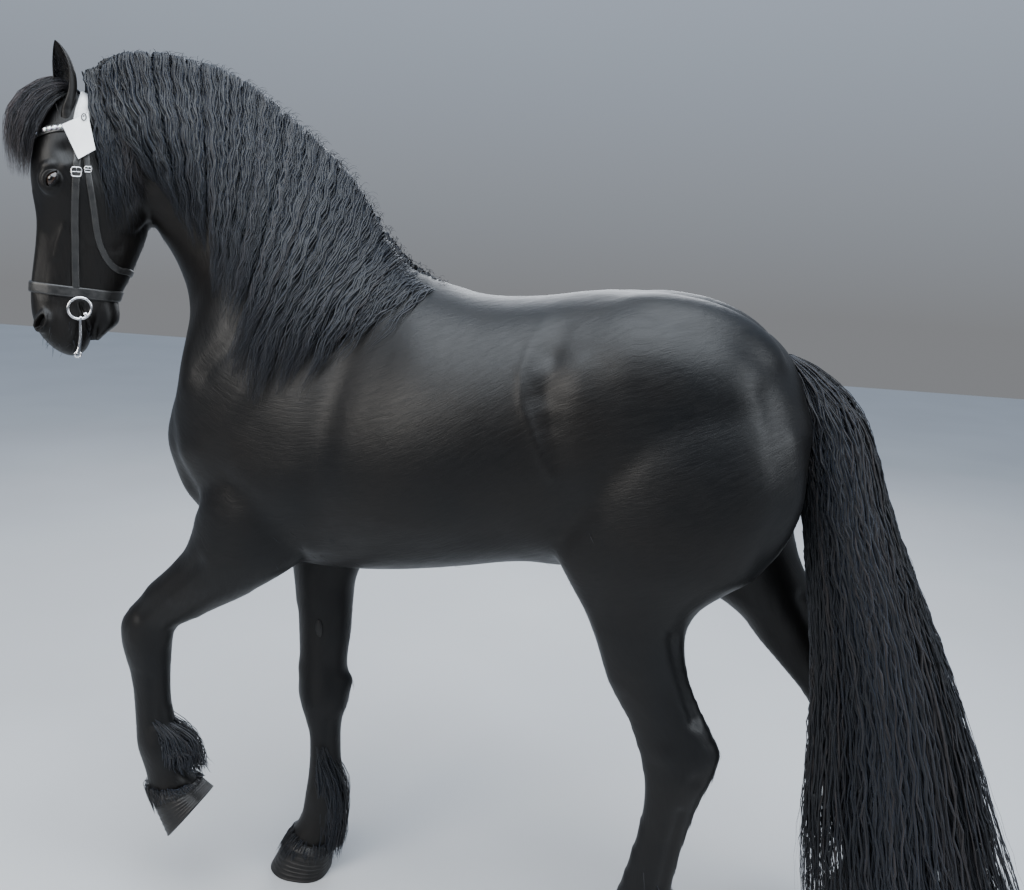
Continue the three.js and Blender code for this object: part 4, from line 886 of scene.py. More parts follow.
# The map of the skin: each body part unrolled about its own middle line, in its own plot,
# from u and v with a width and a height. Trunk and head come first, then legs and ears.
PLOTS = [(0.01, 0.01, 0.47, 0.98), (0.51, 0.51, 0.23, 0.48)]
PLOTS += [(0.51 + 0.12 * i, 0.01, 0.105, 0.48) for i in range(4)]
PLOTS += [(0.76 + 0.12 * i, 0.52, 0.105, 0.46) for i in range(2)]
END_ROOM = 0.12  # of the map past each end of a part's line
ROUND_ROOM = 1.1  # turns that fit across a plot, as faces at the seam reach past one turn
TRUNK_RADIUS, HEAD_RADIUS, LEG_RADIUS, EAR_RADIUS = 240, 90, 55, 26  # for lengths round the part

def line_place(points, line, ups):
    """Length along the line to each point's place, and its turn about the line."""
    seg = np.linalg.norm(np.diff(line, axis=0), axis=1)
    start = np.concatenate([[0], np.cumsum(seg)])
    best = np.full(len(points), 1e9)
    along, turn = np.zeros(len(points)), np.zeros(len(points))
    for i in range(len(line) - 1):
        a, step = line[i], line[i + 1] - line[i]
        t = (points - a) @ step / (step @ step)
        t = np.clip(t, 0 if i else -9, 1 if i < len(line) - 2 else 9)
        off = points - a - t[:, None] * step
        far = np.linalg.norm(off, axis=1)
        up = unit(ups[i])
        angle = np.arctan2(off[:, 1], off @ (up - [0, up[1], 0]))
        near = far < best
        best[near], along[near], turn[near] = far[near], (start[i] + t * seg[i])[near], angle[near]
    return along, turn, start[-1]


def middle_line(rows):
    """The line halfway between a part's front and back edges, and the way from back to front."""
    rows = catmull(rows, 2)
    front, back = rows[:, 0:2], rows[:, 2:4]
    centre = (front + back) / 2
    across = front - back
    return np.insert(centre, 1, rows[:, 4], axis=1), np.insert(across, 1, 0.0, axis=1)


def part_lines(straight, local):
    """Each part's middle line with its upward ways, the places to measure and its radius."""
    parts = [(*middle_line(stations(TRUNK, "trunk")), straight, TRUNK_RADIUS),
             (*middle_line(stations(HEAD, "trunk")), local, HEAD_RADIUS)]
    for rows, side in LEGS.values():
        parts.append((*middle_line(stations(rows, "leg")), straight * [1, side, 1], LEG_RADIUS))
    for side, _ in SIDES:
        base, tip, _, deep = ear_axes(side)
        parts.append((np.array([base, tip]), np.array([-deep, -deep]), local, EAR_RADIUS))
    return parts


def map_skin(mesh, own):
    """Sets the bake map and a map in metres along and across the hair's flow."""
    points = numpy_of(mesh)
    straight = unbend(points)
    local = to_poll(points)
    starts = np.array([polygon.loop_start for polygon in mesh.polygons])
    loops = read(mesh.loops, "vertex_index", 1, np.int32)[:, 0]
    sizes = np.diff(np.append(starts, len(loops)))
    face = np.repeat(np.arange(len(starts)), sizes)
    centre = np.stack([np.bincount(face, points[loops, i]) / sizes for i in range(3)], axis=1)
    middle, at_head = unbend(centre), in_head(centre) & (head_depth(to_poll(centre)) > 0)
    # the trunk is region 0, the head 1, the legs 2 to 5 and the ears 6 and 7
    region = np.where(at_head, 1, 0)
    low = (middle[:, 2] < LEG_TOP) & ~at_head
    leg = 2 + 2 * (middle[:, 0] <= FORE_FROM) + (middle[:, 1] <= 0)
    region[low] = leg[low]
    ear = loops[starts] >= own
    region[ear] = np.where(to_poll(centre[ear])[:, 1] > 0, 6, 7)
    uv, fur = np.zeros((len(loops), 2)), np.zeros((len(loops), 2))
    for number, (plot, part) in enumerate(zip(PLOTS, part_lines(straight, local))):
        (u0, v0, width, height), (line, ups, places, radius) = plot, part
        mine = region[face] == number
        along, turn, length = line_place(places[loops[mine]], line, ups)
        share = turn / (2 * np.pi) + 0.5
        own_face = face[mine]
        most = np.full(len(starts), -9.0)
        np.maximum.at(most, own_face, share)
        share = np.where(most[own_face] - share > 0.5, share + 1, share)
        u = np.clip(share / ROUND_ROOM, 0, 1)
        v = np.clip((along / length + END_ROOM) / (1 + 2 * END_ROOM), 0, 1)
        uv[mine] = np.stack([u0 + width * u, v0 + height * v], axis=1)
        fur[mine] = np.stack([share * 2 * np.pi * radius, along], axis=1) / 1000
    for name, value in (("OFBake", uv), ("Fur", fur)):
        mesh.uv_layers.new(name=name).data.foreach_set("uv", value.ravel())


# Hair: closed three-sided locks, flat and tapered, built many at a time
MOST_TRIANGLES = 190000  # of one piece of hair
FLAT = 0.34  # a lock's depth as a share of its width


class SkinMap:
    """Where each place on the skin lies in the bake map, and its nearest surface."""

    def __init__(self, mesh):
        centres = np.array([polygon.center for polygon in mesh.polygons])
        self.tree = KDTree(len(centres))
        for i, centre in enumerate(centres):
            self.tree.insert(centre, i)
        self.tree.balance()
        starts = np.array([polygon.loop_start for polygon in mesh.polygons])
        self.uv = read(mesh.uv_layers["OFBake"].data, "uv", 2)[starts]
        self.surface = tree_of(numpy_of(mesh), faces_of(mesh))

    def at(self, points):
        return np.array([self.uv[self.tree.find(Vector(p))[1]] for p in points])


def locks_mesh(name, paths, outwards, width, thick, root_uv, tone):
    """Paths (n, k, 3) with outward ways, widths (n, k) and depths (n, k) as one mesh."""
    n, k = paths.shape[:2]
    ahead = np.gradient(paths, axis=1)
    broad = unit(np.cross(ahead, outwards))
    deep = unit(np.cross(broad, ahead))
    half, thick = width[..., None] / 2, thick[..., None]
    corners = np.stack([
        paths + broad * half - deep * thick * 0.3,
        paths + deep * thick * 0.7,
        paths - broad * half - deep * thick * 0.3,
    ], axis=2)
    start = np.arange(n)[:, None, None] * (3 * k)
    level = np.arange(k - 1)[None, :, None] * 3
    a, b = np.array([0, 1, 2]), np.array([1, 2, 0])
    sides = np.stack([a, a + 3, b + 3, b], axis=-1)
    quads = ((start + level)[..., None] + sides[None, None]).reshape(-1, 4)
    last = (k - 1) * 3
    caps = (start + np.array([[[0, 1, 2], [last + 2, last + 1, last]]])).reshape(-1, 3)
    loops = np.concatenate([quads.ravel(), caps.ravel()]).astype(np.int32)
    sizes = np.concatenate([np.full(len(quads), 4), np.full(len(caps), 3)])
    first = np.concatenate([[0], np.cumsum(sizes)[:-1]]).astype(np.int32)
    mesh = bpy.data.meshes.new(name)
    mesh.vertices.add(n * k * 3)
    mesh.loops.add(len(loops))
    mesh.polygons.add(len(sizes))
    mesh.vertices.foreach_set("co", corners.ravel())
    mesh.loops.foreach_set("vertex_index", loops)
    mesh.polygons.foreach_set("loop_start", first)
    mesh.update(calc_edges=True)
    layer = mesh.uv_layers.new(name="OFBake")
    lock, corner = loops // (3 * k), loops % (3 * k)
    patch = np.stack([corner % 3 / 2 - 0.5, corner // 3 / (k - 1) - 0.5], axis=1) * PATCH
    layer.data.foreach_set("uv", (root_uv[lock] + patch).ravel())
    steps = np.linalg.norm(np.diff(paths, axis=1, prepend=paths[:, :1]), axis=2)
    set_value(mesh, "tone", np.repeat(tone, 3 * k))
    set_value(mesh, "along", np.tile(np.repeat(np.linspace(0, 1, k), 3), n))
    set_value(mesh, "across", np.tile([1.0, 0.0, -1.0], n * k))
    set_value(mesh, "run", np.repeat((np.cumsum(steps, axis=1) / 1000).ravel(), 3))
    return mesh


def dense(controls, steps):
    """Smooth paths (n, k, 3) through control points (n, c, 3)."""
    n, c = controls.shape[:2]
    rows = catmull(controls.transpose(1, 0, 2).reshape(c, -1), steps)
    return rows.reshape(len(rows), n, 3).transpose(1, 0, 2)


def taper(k, root, middle):
    """Widths down a lock: a narrower root, a full middle and a fine tip."""
    t = np.linspace(0, 1, k)
    return (root + (middle - root) * fade(t, 0, 0.3)) * (1 - 0.94 * fade(t, 0.55, 1.0) ** 1.2)


def some_widths(paths, root, middle, least, most):
    """The taper of every lock, made narrower or wider at random."""
    n, k = paths.shape[:2]
    return taper(k, root, middle)[None] * rng.uniform(least, most, n)[:, None]


def wavy(paths, outwards, size, length, phase):
    """Adds waves of this size and length, growing from the root, across and out."""
    steps = np.linalg.norm(np.diff(paths, axis=1), axis=2)
    run = np.concatenate([np.zeros((len(paths), 1)), np.cumsum(steps, axis=1)], axis=1)
    across = unit(np.cross(unit(np.gradient(paths, axis=1)), outwards))
    angle = (2 * np.pi * run / length[:, None] + phase[:, None])[..., None]
    grow = fade(run, 20, 180)[..., None] * size[:, None, None]
    return paths + grow * (across * np.sin(angle) + 0.5 * outwards * np.cos(1.3 * angle))


def add_hair(name, paths, outwards, width, material, skin_map, node=None, tone=None, flat=FLAT):
    """One or more pieces of hair, each under the limit of triangles."""
    n, k = paths.shape[:2]
    outwards = np.broadcast_to(outwards, paths.shape)
    root_uv = skin_map.at(paths[:, 0])
    tone = rng.random(n) if tone is None else np.clip(tone + rng.normal(0, 0.12, n), 0, 1)
    count = -(-n // (MOST_TRIANGLES // (6 * (k - 1) + 2)))
    for i, some in enumerate(np.array_split(np.arange(n), count)):
        mesh = locks_mesh(name, paths[some], outwards[some], width[some], width[some] * flat,
                          root_uv[some], tone[some])
        label = name if count == 1 else f"{name}_{i + 1}"
        add_piece(label, mesh, material, (node,) if node else ())


# The mane hangs to the left from the crest, with a shorter fall on the right. Its tables run
# from the withers to the poll: roots, tips in side view, and how far the hair stands up.
MANE_ROOTS = [120, 252, 340, 410, 480, 560, 650, 745, 842, 948, 1050]
MANE_TIP_X = [322, 400, 446, 488, 528, 575, 625, 682, 742, 812, 896]
MANE_TIP_Z = [1322, 1240, 1232, 1244, 1272, 1326, 1392, 1468, 1552, 1652, 1762]
MANE_RISE = [6, 30, 56, 58, 56, 62, 70, 75, 68, 76, 104]
MANE_DOWNS = np.array([0, 0.03, 0.07, 0.13, 0.24, 0.38, 0.53, 0.68, 0.84, 1.0])
ROOT_DOWNS = 4  # how many of these steps every lock shares at its root
OVER_CREST = 0.1  # the share of a lock that rises over the crest
OVER_TOP = 12  # height over the crest line from which the hair falls
ROOT_DEPTH = 20  # how far below the crest line the roots start
BIG_CLUMPS, SMALL_CLUMPS = 26, 230
FLANK_STEP = 15.0


def evenly(values, share):
    """A value from an even table, carried on past its start."""
    before = np.minimum(share, 0) * (values[1] - values[0]) * (len(values) - 1)
    return np.interp(share, np.linspace(0, 1, len(values)), values) + before


class Flank:
    """How far out the left side of the straight neck, shoulder and cheek lies in side view."""

    def __init__(self):
        parts = [loft(rings(stations(TRUNK, "trunk"), 96)), loft(rings(head_rows(HEAD), 72))]
        (x, y, z), radii, tilt = CHEEK
        cheek = ((x + HEAD_ORIGIN[0], y, z + HEAD_ORIGIN[2]), radii, tilt)
        for centre, radii, tilt in (SHOULDER, cheek):
            parts.append(ellipsoid(centre, np.array(radii), tilt))
        tree = tree_of(*merged(parts))
        self.x, self.z = np.arange(60, 1141, FLANK_STEP), np.arange(1120, 2101, FLANK_STEP)
        self.out = np.zeros((len(self.x), len(self.z)))
        for i, x in enumerate(self.x):
            for j, z in enumerate(self.z):
                hit = tree.ray_cast(Vector((x, 900, z)), Vector((0, -1, 0)))[0]
                self.out[i, j] = hit[1] if hit else 0

    def at(self, x, z):
        u = np.clip((x - self.x[0]) / FLANK_STEP, 0, len(self.x) - 1.001)
        v = np.clip((z - self.z[0]) / FLANK_STEP, 0, len(self.z) - 1.001)
        i, j = u.astype(int), v.astype(int)
        u, v = u - i, v - j
        grid = self.out
        return ((grid[i, j] * (1 - u) + grid[i + 1, j] * u) * (1 - v)
                + (grid[i, j + 1] * (1 - u) + grid[i + 1, j + 1] * u) * v)


def crest_at(x):
    tops = catmull(stations(TRUNK, "trunk"), 6)[:, :2]
    return np.interp(x, tops[:, 0], tops[:, 1])


def mane_points(flank, share, down, lift, high, side):
    """Places on the mane: share from withers to poll, down from root to tip, lift off the skin."""
    root, rise = evenly(MANE_ROOTS, share), evenly(MANE_RISE, share)
    top, wide = crest_at(root), 12 + 0.3 * rise
    rise = rise * high
    fall = np.clip((down - OVER_CREST) / (1 - OVER_CREST), 0, 1)
    x = root + (evenly(MANE_TIP_X, share) - root) * fall**1.15
    settle = fade(fall, 0, 0.16)
    z = top + (rise - OVER_TOP) * (1 - settle) + OVER_TOP * settle
    z = z + (evenly(MANE_TIP_Z, share) - top - OVER_TOP) * fall
    climb = np.sin(np.clip(down / OVER_CREST, 0, 1) * np.pi / 2)
    z = np.where(down < OVER_CREST, top - ROOT_DEPTH + (rise + 12) * climb, z)
    out = np.maximum(flank.at(x, np.minimum(z, crest_at(x) - 26)), 26) + lift
    over = fade(fall, -0.04, 0.1)
    out = np.where(down < OVER_CREST, (4 + wide * down / OVER_CREST) * high,
                   out * over + wide * (1 - over))
    return np.stack([x, side * out, z], axis=-1)


def bend_vectors(points, vector):
    """A direction in the straight horse, turned as the neck is at each place."""
    straight = unbend(points.reshape(-1, 3))
    share = neck_share(straight[:, 0], straight[:, 2])
    turn = (NECK_TURN * share**TURN_POWER).reshape(points.shape[:-1])
    c, s = np.cos(turn), np.sin(turn)
    x, y, z = vector
    return np.stack([x * c - y * s, x * s + y * c, np.full_like(c, z)], axis=-1)


def hanging_ways(paths, side, low=0.05, high=0.3):
    """Outward ways for hair that rises from the crest and then hangs on one side."""
    t = np.linspace(0, 1, paths.shape[1])[None, :, None]
    out = bend_vectors(paths, np.array([0.0, side, 0.0]))
    return unit(out * fade(t, low, high) + np.array([0, 0, 1.0]) * (1 - fade(t, low, high + 0.05)))


def lock_downs(end):
    """Steps down each lock: the same about the crest, then on to the lock's own end."""
    downs = MANE_DOWNS[None] * end[:, None]
    downs[:, :ROOT_DOWNS] = MANE_DOWNS[:ROOT_DOWNS]
    return downs


def make_mane_left(flank, material, skin_map):
    """The long mane, in clumps that gather towards their tips and loose at its rear edge."""
    n = 2050
    share = rng.random(n) ** 0.72
    at = share * BIG_CLUMPS
    big, inside = np.floor(at).astype(int), 2 * (at % 1) - 1
    small = np.floor(share * SMALL_CLUMPS).astype(int)
    sway = rng.uniform(-0.024, 0.024, 40)[big] + rng.uniform(-0.006, 0.006, 240)[small]
    phase = np.cumsum(rng.uniform(-1.0, 1.0, 240))[small]
    short = rng.uniform(0.12, 0.8, n)
    end = rng.uniform(0.86, 1.0, 40)[big] * rng.uniform(0.84, 1.0, n)
    end = end * (short + (1 - short) * fade(share, 0.0, 0.2))
    level = rng.random(n) ** 0.8
    full = np.minimum(1, 0.04 + 3.4 * share) * (0.6 + 0.4 * np.cos(inside * np.pi / 2))
    lift = 3 + 40 * level * full
    downs = lock_downs(end)
    centre = (small + 0.5) / SMALL_CLUMPS
    gather = 0.4 * fade(downs, 0.25, 1.0)
    shares = share[:, None] + (centre - share)[:, None] * gather + sway[:, None] * downs
    loose = 0.006 + 0.03 * (1 - fade(share, 0.0, 0.14))
    shares = np.clip(shares + (rng.normal(0, 1, n) * loose)[:, None] * downs, -0.06, 1)
    lifts = lift[:, None] * (1 - 0.4 * fade(downs, 0.6, 1))
    lifts = lifts + 6 * np.sin(downs * 11 + phase[:, None]) * downs
    high = np.clip(lift / 28, 0.3, 1.1)[:, None] * np.ones_like(downs)
    points = mane_points(flank, shares, downs, np.maximum(lifts, 2.5), high, 1)
    paths = dense(bend(points), 4)
    ways = hanging_ways(paths, 1)
    size, length = rng.uniform(2.5, 5.5, n), 88 + 14 * np.sin(big * 2.4)
    paths = wavy(paths, ways, size, length, phase + rng.normal(0, 0.7, n))
    width = some_widths(paths, 2.6, 4.6, 0.65, 1.3)
    tone = 0.35 + 0.35 * np.sin(small * 12.9)
    add_hair("mane", paths, ways, width, material, skin_map, "mane", tone)


# The fall over the cheek, from behind the ear: ahead, out and up, and how its crown lies
CHEEK_FALL = [(30, 4, 46), (30, 28, 104), (28, 62, 84), (20, 82, 22), (6, 86, -60),
              (-14, 87, -142), (-42, 88, -232)]
CHEEK_CROWN = [0, 52, 30, 8, 0, 0, 0]


def make_mane_front(flank, material, skin_map):
    n, count = 420, len(CHEEK_FALL)
    spread, level = rng.random(n), rng.random(n)
    controls = np.empty((n, count, 3))
    for i, (ahead, out, up) in enumerate(CHEEK_FALL):
        t = i / (count - 1)
        row = ahead - spread * (44 + 34 * t) + 4 * np.sin(5 * t + 9 * spread) + rng.normal(0, 6, n)
        controls[:, i, 0], controls[:, i, 1] = row, out
        arch = (1 - t) * 10 * level * np.sin(np.pi * min(1, 2 * t + 0.1))
        controls[:, i, 2] = up + (CHEEK_CROWN[i] - 8) * spread + arch
    stretch = 1 + rng.uniform(-0.35, 0.18, n)[:, None] * np.linspace(0, 1, count)[None] ** 2
    controls[..., 2] = 60 + (controls[..., 2] - 60) * stretch
    straight = controls + HEAD_ORIGIN
    surface = flank.at(straight[..., 0], straight[..., 2]) + (4 + 20 * level)[:, None]
    low = np.arange(count)[None] >= 2
    straight[..., 1] = np.where(low, np.maximum(surface, 40), straight[..., 1])
    paths = dense(bend(straight), 4)
    ways = hanging_ways(paths, 1, 0.15, 0.4)
    phase = np.floor(spread * 9) * 1.7 + rng.normal(0, 0.4, n)
    paths = wavy(paths, ways, rng.uniform(2, 4.5, n), np.full(n, 84.0), phase)
    width = some_widths(paths, 2.6, 4.4, 0.65, 1.3)
    add_hair("mane_front", paths, ways, width, material, skin_map, "mane", spread)


def make_mane_right(flank, material, skin_map):
    """The short fall on the right side."""
    n = 400
    share = rng.uniform(0.04, 1.0, n)
    downs = lock_downs(rng.uniform(0.24, 0.5, n))
    shares = np.repeat(share[:, None], len(MANE_DOWNS), axis=1)
    lift = rng.uniform(3, 18, n)[:, None] * np.ones_like(downs)
    high = rng.uniform(0.4, 0.85, n)[:, None] * np.ones_like(downs)
    paths = dense(bend(mane_points(flank, shares, downs, lift, high, -1)), 2)
    ways = hanging_ways(paths, -1, 0.1, 0.4)
    paths = wavy(paths, ways, rng.uniform(2, 4, n), np.full(n, 90.0), share * 60)
    width = some_widths(paths, 3.4, 6.5, 0.65, 1.3)
    add_hair("mane_right", paths, ways, width, material, skin_map, "mane")


def make_mane_frizz(material, skin_map):
    """Fine hair that stands off the crest and the upper mane."""
    n = 760
    share = rng.random(n)
    root = evenly(MANE_ROOTS, share)
    out = rng.uniform(-16, 30, n)
    dome = np.sqrt(np.clip(1 - (out / 36) ** 2, 0, 1))
    base = crest_at(root) - 6 + evenly(MANE_RISE, share) * dome * 0.94
    way = unit(np.stack([rng.normal(-0.1, 0.35, n), out / 30 + rng.normal(0.25, 0.25, n),
                         rng.uniform(0.35, 0.9, n)], axis=1))
    length = rng.uniform(22, 62, n) * np.minimum(1, 0.4 + 3 * share)
    t = np.linspace(0, 1, 8)[None, :, None]
    start = np.stack([root, out, base], axis=1)[:, None]
    fall = np.array([0, 0.35, -0.75])
    paths = bend(start + length[:, None, None] * (way[:, None] * t + fall * t * t))
    width = some_widths(paths, 0.9, 1.1, 0.6, 1.3)
    add_hair("mane_frizz", paths, hanging_ways(paths, 1, 0.5, 1.2), width, material, skin_map,
             "mane", np.full(n, 0.9), 0.6)


# The forelock sweeps forwards over the brow: its innermost and outermost course, with the spread
FORELOCK_IN = [(50, 54), (80, 50), (106, 28), (130, -10), (146, -58), (154, -104), (156, -150)]
FORELOCK_OUT = [(56, 66), (94, 98), (140, 88), (184, 52), (212, 2), (217, -66), (205, -136)]
FORELOCK_WIDE = [28, 40, 55, 68, 76, 78, 76]


def make_forelock(material, skin_map):
    n = 1400
    spread, depth = rng.uniform(-1, 1, n), rng.random(n)
    clump = np.floor((spread + 1) * 9) + 20 * np.floor(depth * 3)
    depth = depth * (1 - 0.45 * np.abs(spread) ** 2)
    inner, outer = np.array(FORELOCK_IN, float), np.array(FORELOCK_OUT, float)
    rows = inner[None] + (outer - inner)[None] * depth[:, None, None]
    t = np.linspace(0, 1, len(inner))[None]
    drift = np.sin(clump * 3.3)[:, None] * 9 * t
    loose = rng.normal(0, 2.5, n)[:, None] * (0.4 + t)
    side = spread[:, None] * np.array(FORELOCK_WIDE)[None] + loose + drift
    ahead = rows[..., 0] + rng.normal(0, 3, n)[:, None] * t
    controls = np.stack([ahead, side, rows[..., 1]], axis=-1)
    # each lock ends at its own share of the course
    at = np.linspace(0, 1, 8)[None] * rng.uniform(0.72, 1.04, n)[:, None] * (len(inner) - 1)
    low = np.clip(np.floor(at).astype(int), 0, len(inner) - 2)
    part, lock = (at - low)[..., None], np.arange(n)[:, None]
    controls = controls[lock, low] * (1 - part) + controls[lock, low + 1] * part
    paths = dense(from_poll(controls), 2)
    t = np.linspace(0, 1, paths.shape[1])[None, :, None]
    ahead = turn_head(np.array([1.0, 0, 0.1]))
    ways = unit(ahead * fade(t, 0.1, 0.6) + np.array([0, 0, 1.0]) * (1 - fade(t, 0.2, 0.6)))
    size, length = rng.uniform(2, 4.5, n), 62 + 10 * np.sin(clump)
    paths = wavy(paths, ways, size, length, clump * 2.1 + rng.normal(0, 0.4, n))
    width = some_widths(paths, 2.2, 3.4, 0.6, 1.2)
    add_hair("forelock", paths, ways, width, material, skin_map, "forelock",
             (np.sin(clump) + 1) / 2, 0.36)


# The tail, in side view from its front to its back edge, with its two sides
TAIL_Z = [1462, 1400, 1320, 1230, 1120, 1000, 860, 720, 560, 400, 240, 110, 22]
TAIL_FRONT = [-640, -690, -716, -728, -738, -752, -768, -778, -778, -772, -784, -792, -806]
TAIL_BACK = [-722, -806, -872, -902, -932, -980, -1040, -1096, -1152, -1204, -1268, -1310, -1336]
TAIL_MIDDLE = [0, 2, 6, 12, 20, 26, 32, 38, 40, 42, 44, 46, 48]
TAIL_HALF = [30, 62, 82, 92, 98, 102, 106, 110, 112, 116, 120, 124, 126]
TAIL_CLUMPS = 110
GOLDEN_TURN = 2.399963


def tail_points(down, across, out):
    front, back = evenly(TAIL_FRONT, down), evenly(TAIL_BACK, down)
    return np.stack([
        (front + back) / 2 + across * (back - front) / 2,
        evenly(TAIL_MIDDLE, down) + out * evenly(TAIL_HALF, down),
        evenly(TAIL_Z, down),
    ], axis=-1)


def same_way(way, paths):
    """One outward way for the whole of each lock."""
    return unit(way)[:, None] * np.ones((1, paths.shape[1], 1))


def make_tail(material, skin_map):
    n = 1960
    g = rng.integers(0, TAIL_CLUMPS, n)
    clump_turn = (np.arange(TAIL_CLUMPS) * GOLDEN_TURN)[g]
    clump_size = np.sqrt(rng.uniform(0.12, 1.0, TAIL_CLUMPS))[g]
    phase = rng.uniform(0, 2 * np.pi, TAIL_CLUMPS)[g]
    stray = rng.random(n) < 0.07
    t = np.linspace(0, 1, 12)[None]
    gather = 1 - 0.45 * fade(t, 0.3, 1.0)
    turn = clump_turn[:, None] + rng.normal(0, 0.22, n)[:, None] * gather
    size = clump_size[:, None] + rng.normal(0, 0.07, n)[:, None] * gather
    off = (stray * rng.uniform(0.02, 0.14, n))[:, None] * fade(t, 0.2, 0.9)
    size = np.clip(size, 0.05, 1.0) + off
    start = np.clip(rng.uniform(-0.02, 0.30, n) * (0.4 + 0.6 * clump_size), 0, 1)
    end = np.where(rng.random(n) < 0.3, rng.uniform(0.5, 0.95, n), rng.uniform(0.9, 1.0, n))
    down = start[:, None] + (end - start)[:, None] * t
    spin = turn + rng.uniform(-0.3, 0.3, TAIL_CLUMPS)[g][:, None] * t
    spin = spin + 0.1 * np.sin(5 * t + phase[:, None])
    radius = size * (0.55 + 0.45 * fade(t, 0, 0.16)) * 0.98
    radius = radius + 0.03 * np.sin(15 * t + phase[:, None]) * t
    controls = tail_points(down, radius * np.cos(spin), radius * np.sin(spin))
    first = turn[:, 0]
    dock = tail_points(np.maximum(start, 0.02), 0.35 * np.cos(first) - 0.15, 0.4 * np.sin(first))
    controls[:, 0] = dock
    paths = dense(controls, 3)
    ways = same_way(np.stack([-np.cos(first), np.sin(first), np.full(n, 0.05)], axis=-1), paths)
    size, length = rng.uniform(2.5, 7.5, n), 112 + 18 * np.sin(g * 1.7)
    paths = wavy(paths, ways, size, length, phase + rng.normal(0, 0.35, n))
    paths[..., 2] = np.maximum(paths[..., 2], 5)
    width = some_widths(paths, 3.6, 6.5, 0.55, 1.25) * np.where(stray, 0.4, 1.0)[:, None]
    add_hair("tail", paths, ways, width, material, skin_map, "tail", (np.sin(g * 7.7) + 1) / 2)


# Feathers behind each fetlock, in side view: the upper and lower end of the roots on the back
# of the leg, of the bulge and of the tips by the heel, then the distance to the left
FEATHERS = {
    "fore_left": (((726, 452), (704, 372)), ((676, 415), (650, 372)), ((618, 338), (650, 318)), 146),
    "fore_right": (((384, 330), (382, 160)), ((352, 232), (352, 110)), ((342, 92), (366, 22)), -70),
    "hind_left": (((-488, 330), (-462, 150)), ((-520, 222), (-492, 106)), ((-524, 84), (-462, 20)), 181),
    "hind_right": (((-990, 338), (-1004, 150)), ((-1048, 226), (-1032, 106)),
                   ((-1060, 84), (-1002, 20)), -163),
}
FEATHER_REACHES = (33, 40, 36, 20)  # to either side, from root to tip


def make_feathers(material, skin_map):
    for name, (*ends, y) in FEATHERS.items():
        n = 640
        level, out = rng.random(n), rng.uniform(-1, 1, n)
        depth = rng.uniform(0.2, 1.0, n)
        at = [np.array(upper)[None] + (np.array(lower) - upper)[None] * level[:, None]
              for upper, lower in ends]
        wrap = (1 - 0.42 * out * out) * depth
        root = at[0] + np.stack([24 + 26 * out * out, 10 * out * out], axis=1)
        heel = (at[1] + at[2]) / 2
        xs = [root[:, 0]] + [root[:, 0] + (to[:, 0] - root[:, 0]) * wrap for to in (at[1], heel, at[2])]
        zs = [root[:, 1], root[:, 1] + (at[1][:, 1] - root[:, 1]) * 0.8, heel[:, 1],
              at[2][:, 1] + (1 - depth) * 18 + rng.uniform(-6, 26, n)]
        ys = [y + out * reach + rng.normal(0, 2, n) for reach in FEATHER_REACHES]
        paths = dense(np.stack([np.stack(row, axis=-1) for row in zip(xs, ys, zs)], axis=1), 3)
        ways = same_way(np.stack([-np.ones(n), out * 1.4, np.zeros(n)], axis=-1), paths)
        size, length = rng.uniform(1, 3.5, n), rng.uniform(50, 80, n)
        paths = wavy(paths, ways, size, length, rng.uniform(0, 6.3, n))
        paths[..., 2] = np.maximum(paths[..., 2], 4)
        width = some_widths(paths, 2.2, 3.2, 0.6, 1.2)
        add_hair(f"feather_{name}", paths, ways, width, material, skin_map, f"feather_{name}")


# Short tufts where the coat breaks the smooth form: a line, its reach, how close together the
# tufts stand, their length and how steeply they rise
TUFT_LINES = [
    ([(815, 0, 1290), (806, 0, 1150), (760, 0, 1010)], 30, 0.3, 26, 0.35),
    ([(600, 0, 960), (300, 0, 925), (0, 0, 935), (-240, 0, 960)], 34, 0.3, 24, 0.4),
    ([(380, 150, 930), (330, 200, 960)], 46, 0.22, 30, 0.35),
    ([(-640, 60, 1330), (-660, 90, 1150), (-600, 110, 960)], 40, 0.2, 24, 0.3),
    ([(-300, 160, 1010), (-330, 200, 1060)], 46, 0.16, 28, 0.35),
]
SHORT = 5  # points along a short hair


def flow_at(points):
    """The way the coat lies at each place, before it is laid on the surface."""
    straight = unbend(points)
    head = (in_head(points) & (head_depth(to_poll(points)) > 0)).astype(float)[:, None]
    leg = (1 - fade(straight[:, 2], 780, 980))[:, None]
    neck = fade(straight[:, 0], 420, 620)[:, None]
    body = unit([-0.80, 0, -0.60]) * (1 - neck) + unit([-0.35, 0, -0.93]) * neck
    way = body * (1 - leg) + np.array([-0.12, 0, -0.99]) * leg
    return unit(way * (1 - head) + turn_head(np.array([0.05, 0, -1.0])) * head)


def laid_locks(roots, normals, length, tilt, curve):
    """Short locks along the flow from the roots, rising by the tilt and bending back."""
    flow = flow_at(roots)
    flow = unit(flow - normals * (flow * normals).sum(axis=1, keepdims=True))
    t = np.linspace(0, 1, SHORT)[None, :, None]
    rise = tilt[:, None, None] * t - curve * t * t
    way = flow[:, None] * t + normals[:, None] * rise
    return roots[:, None] - normals[:, None] * 1.5 + length[:, None, None] * way


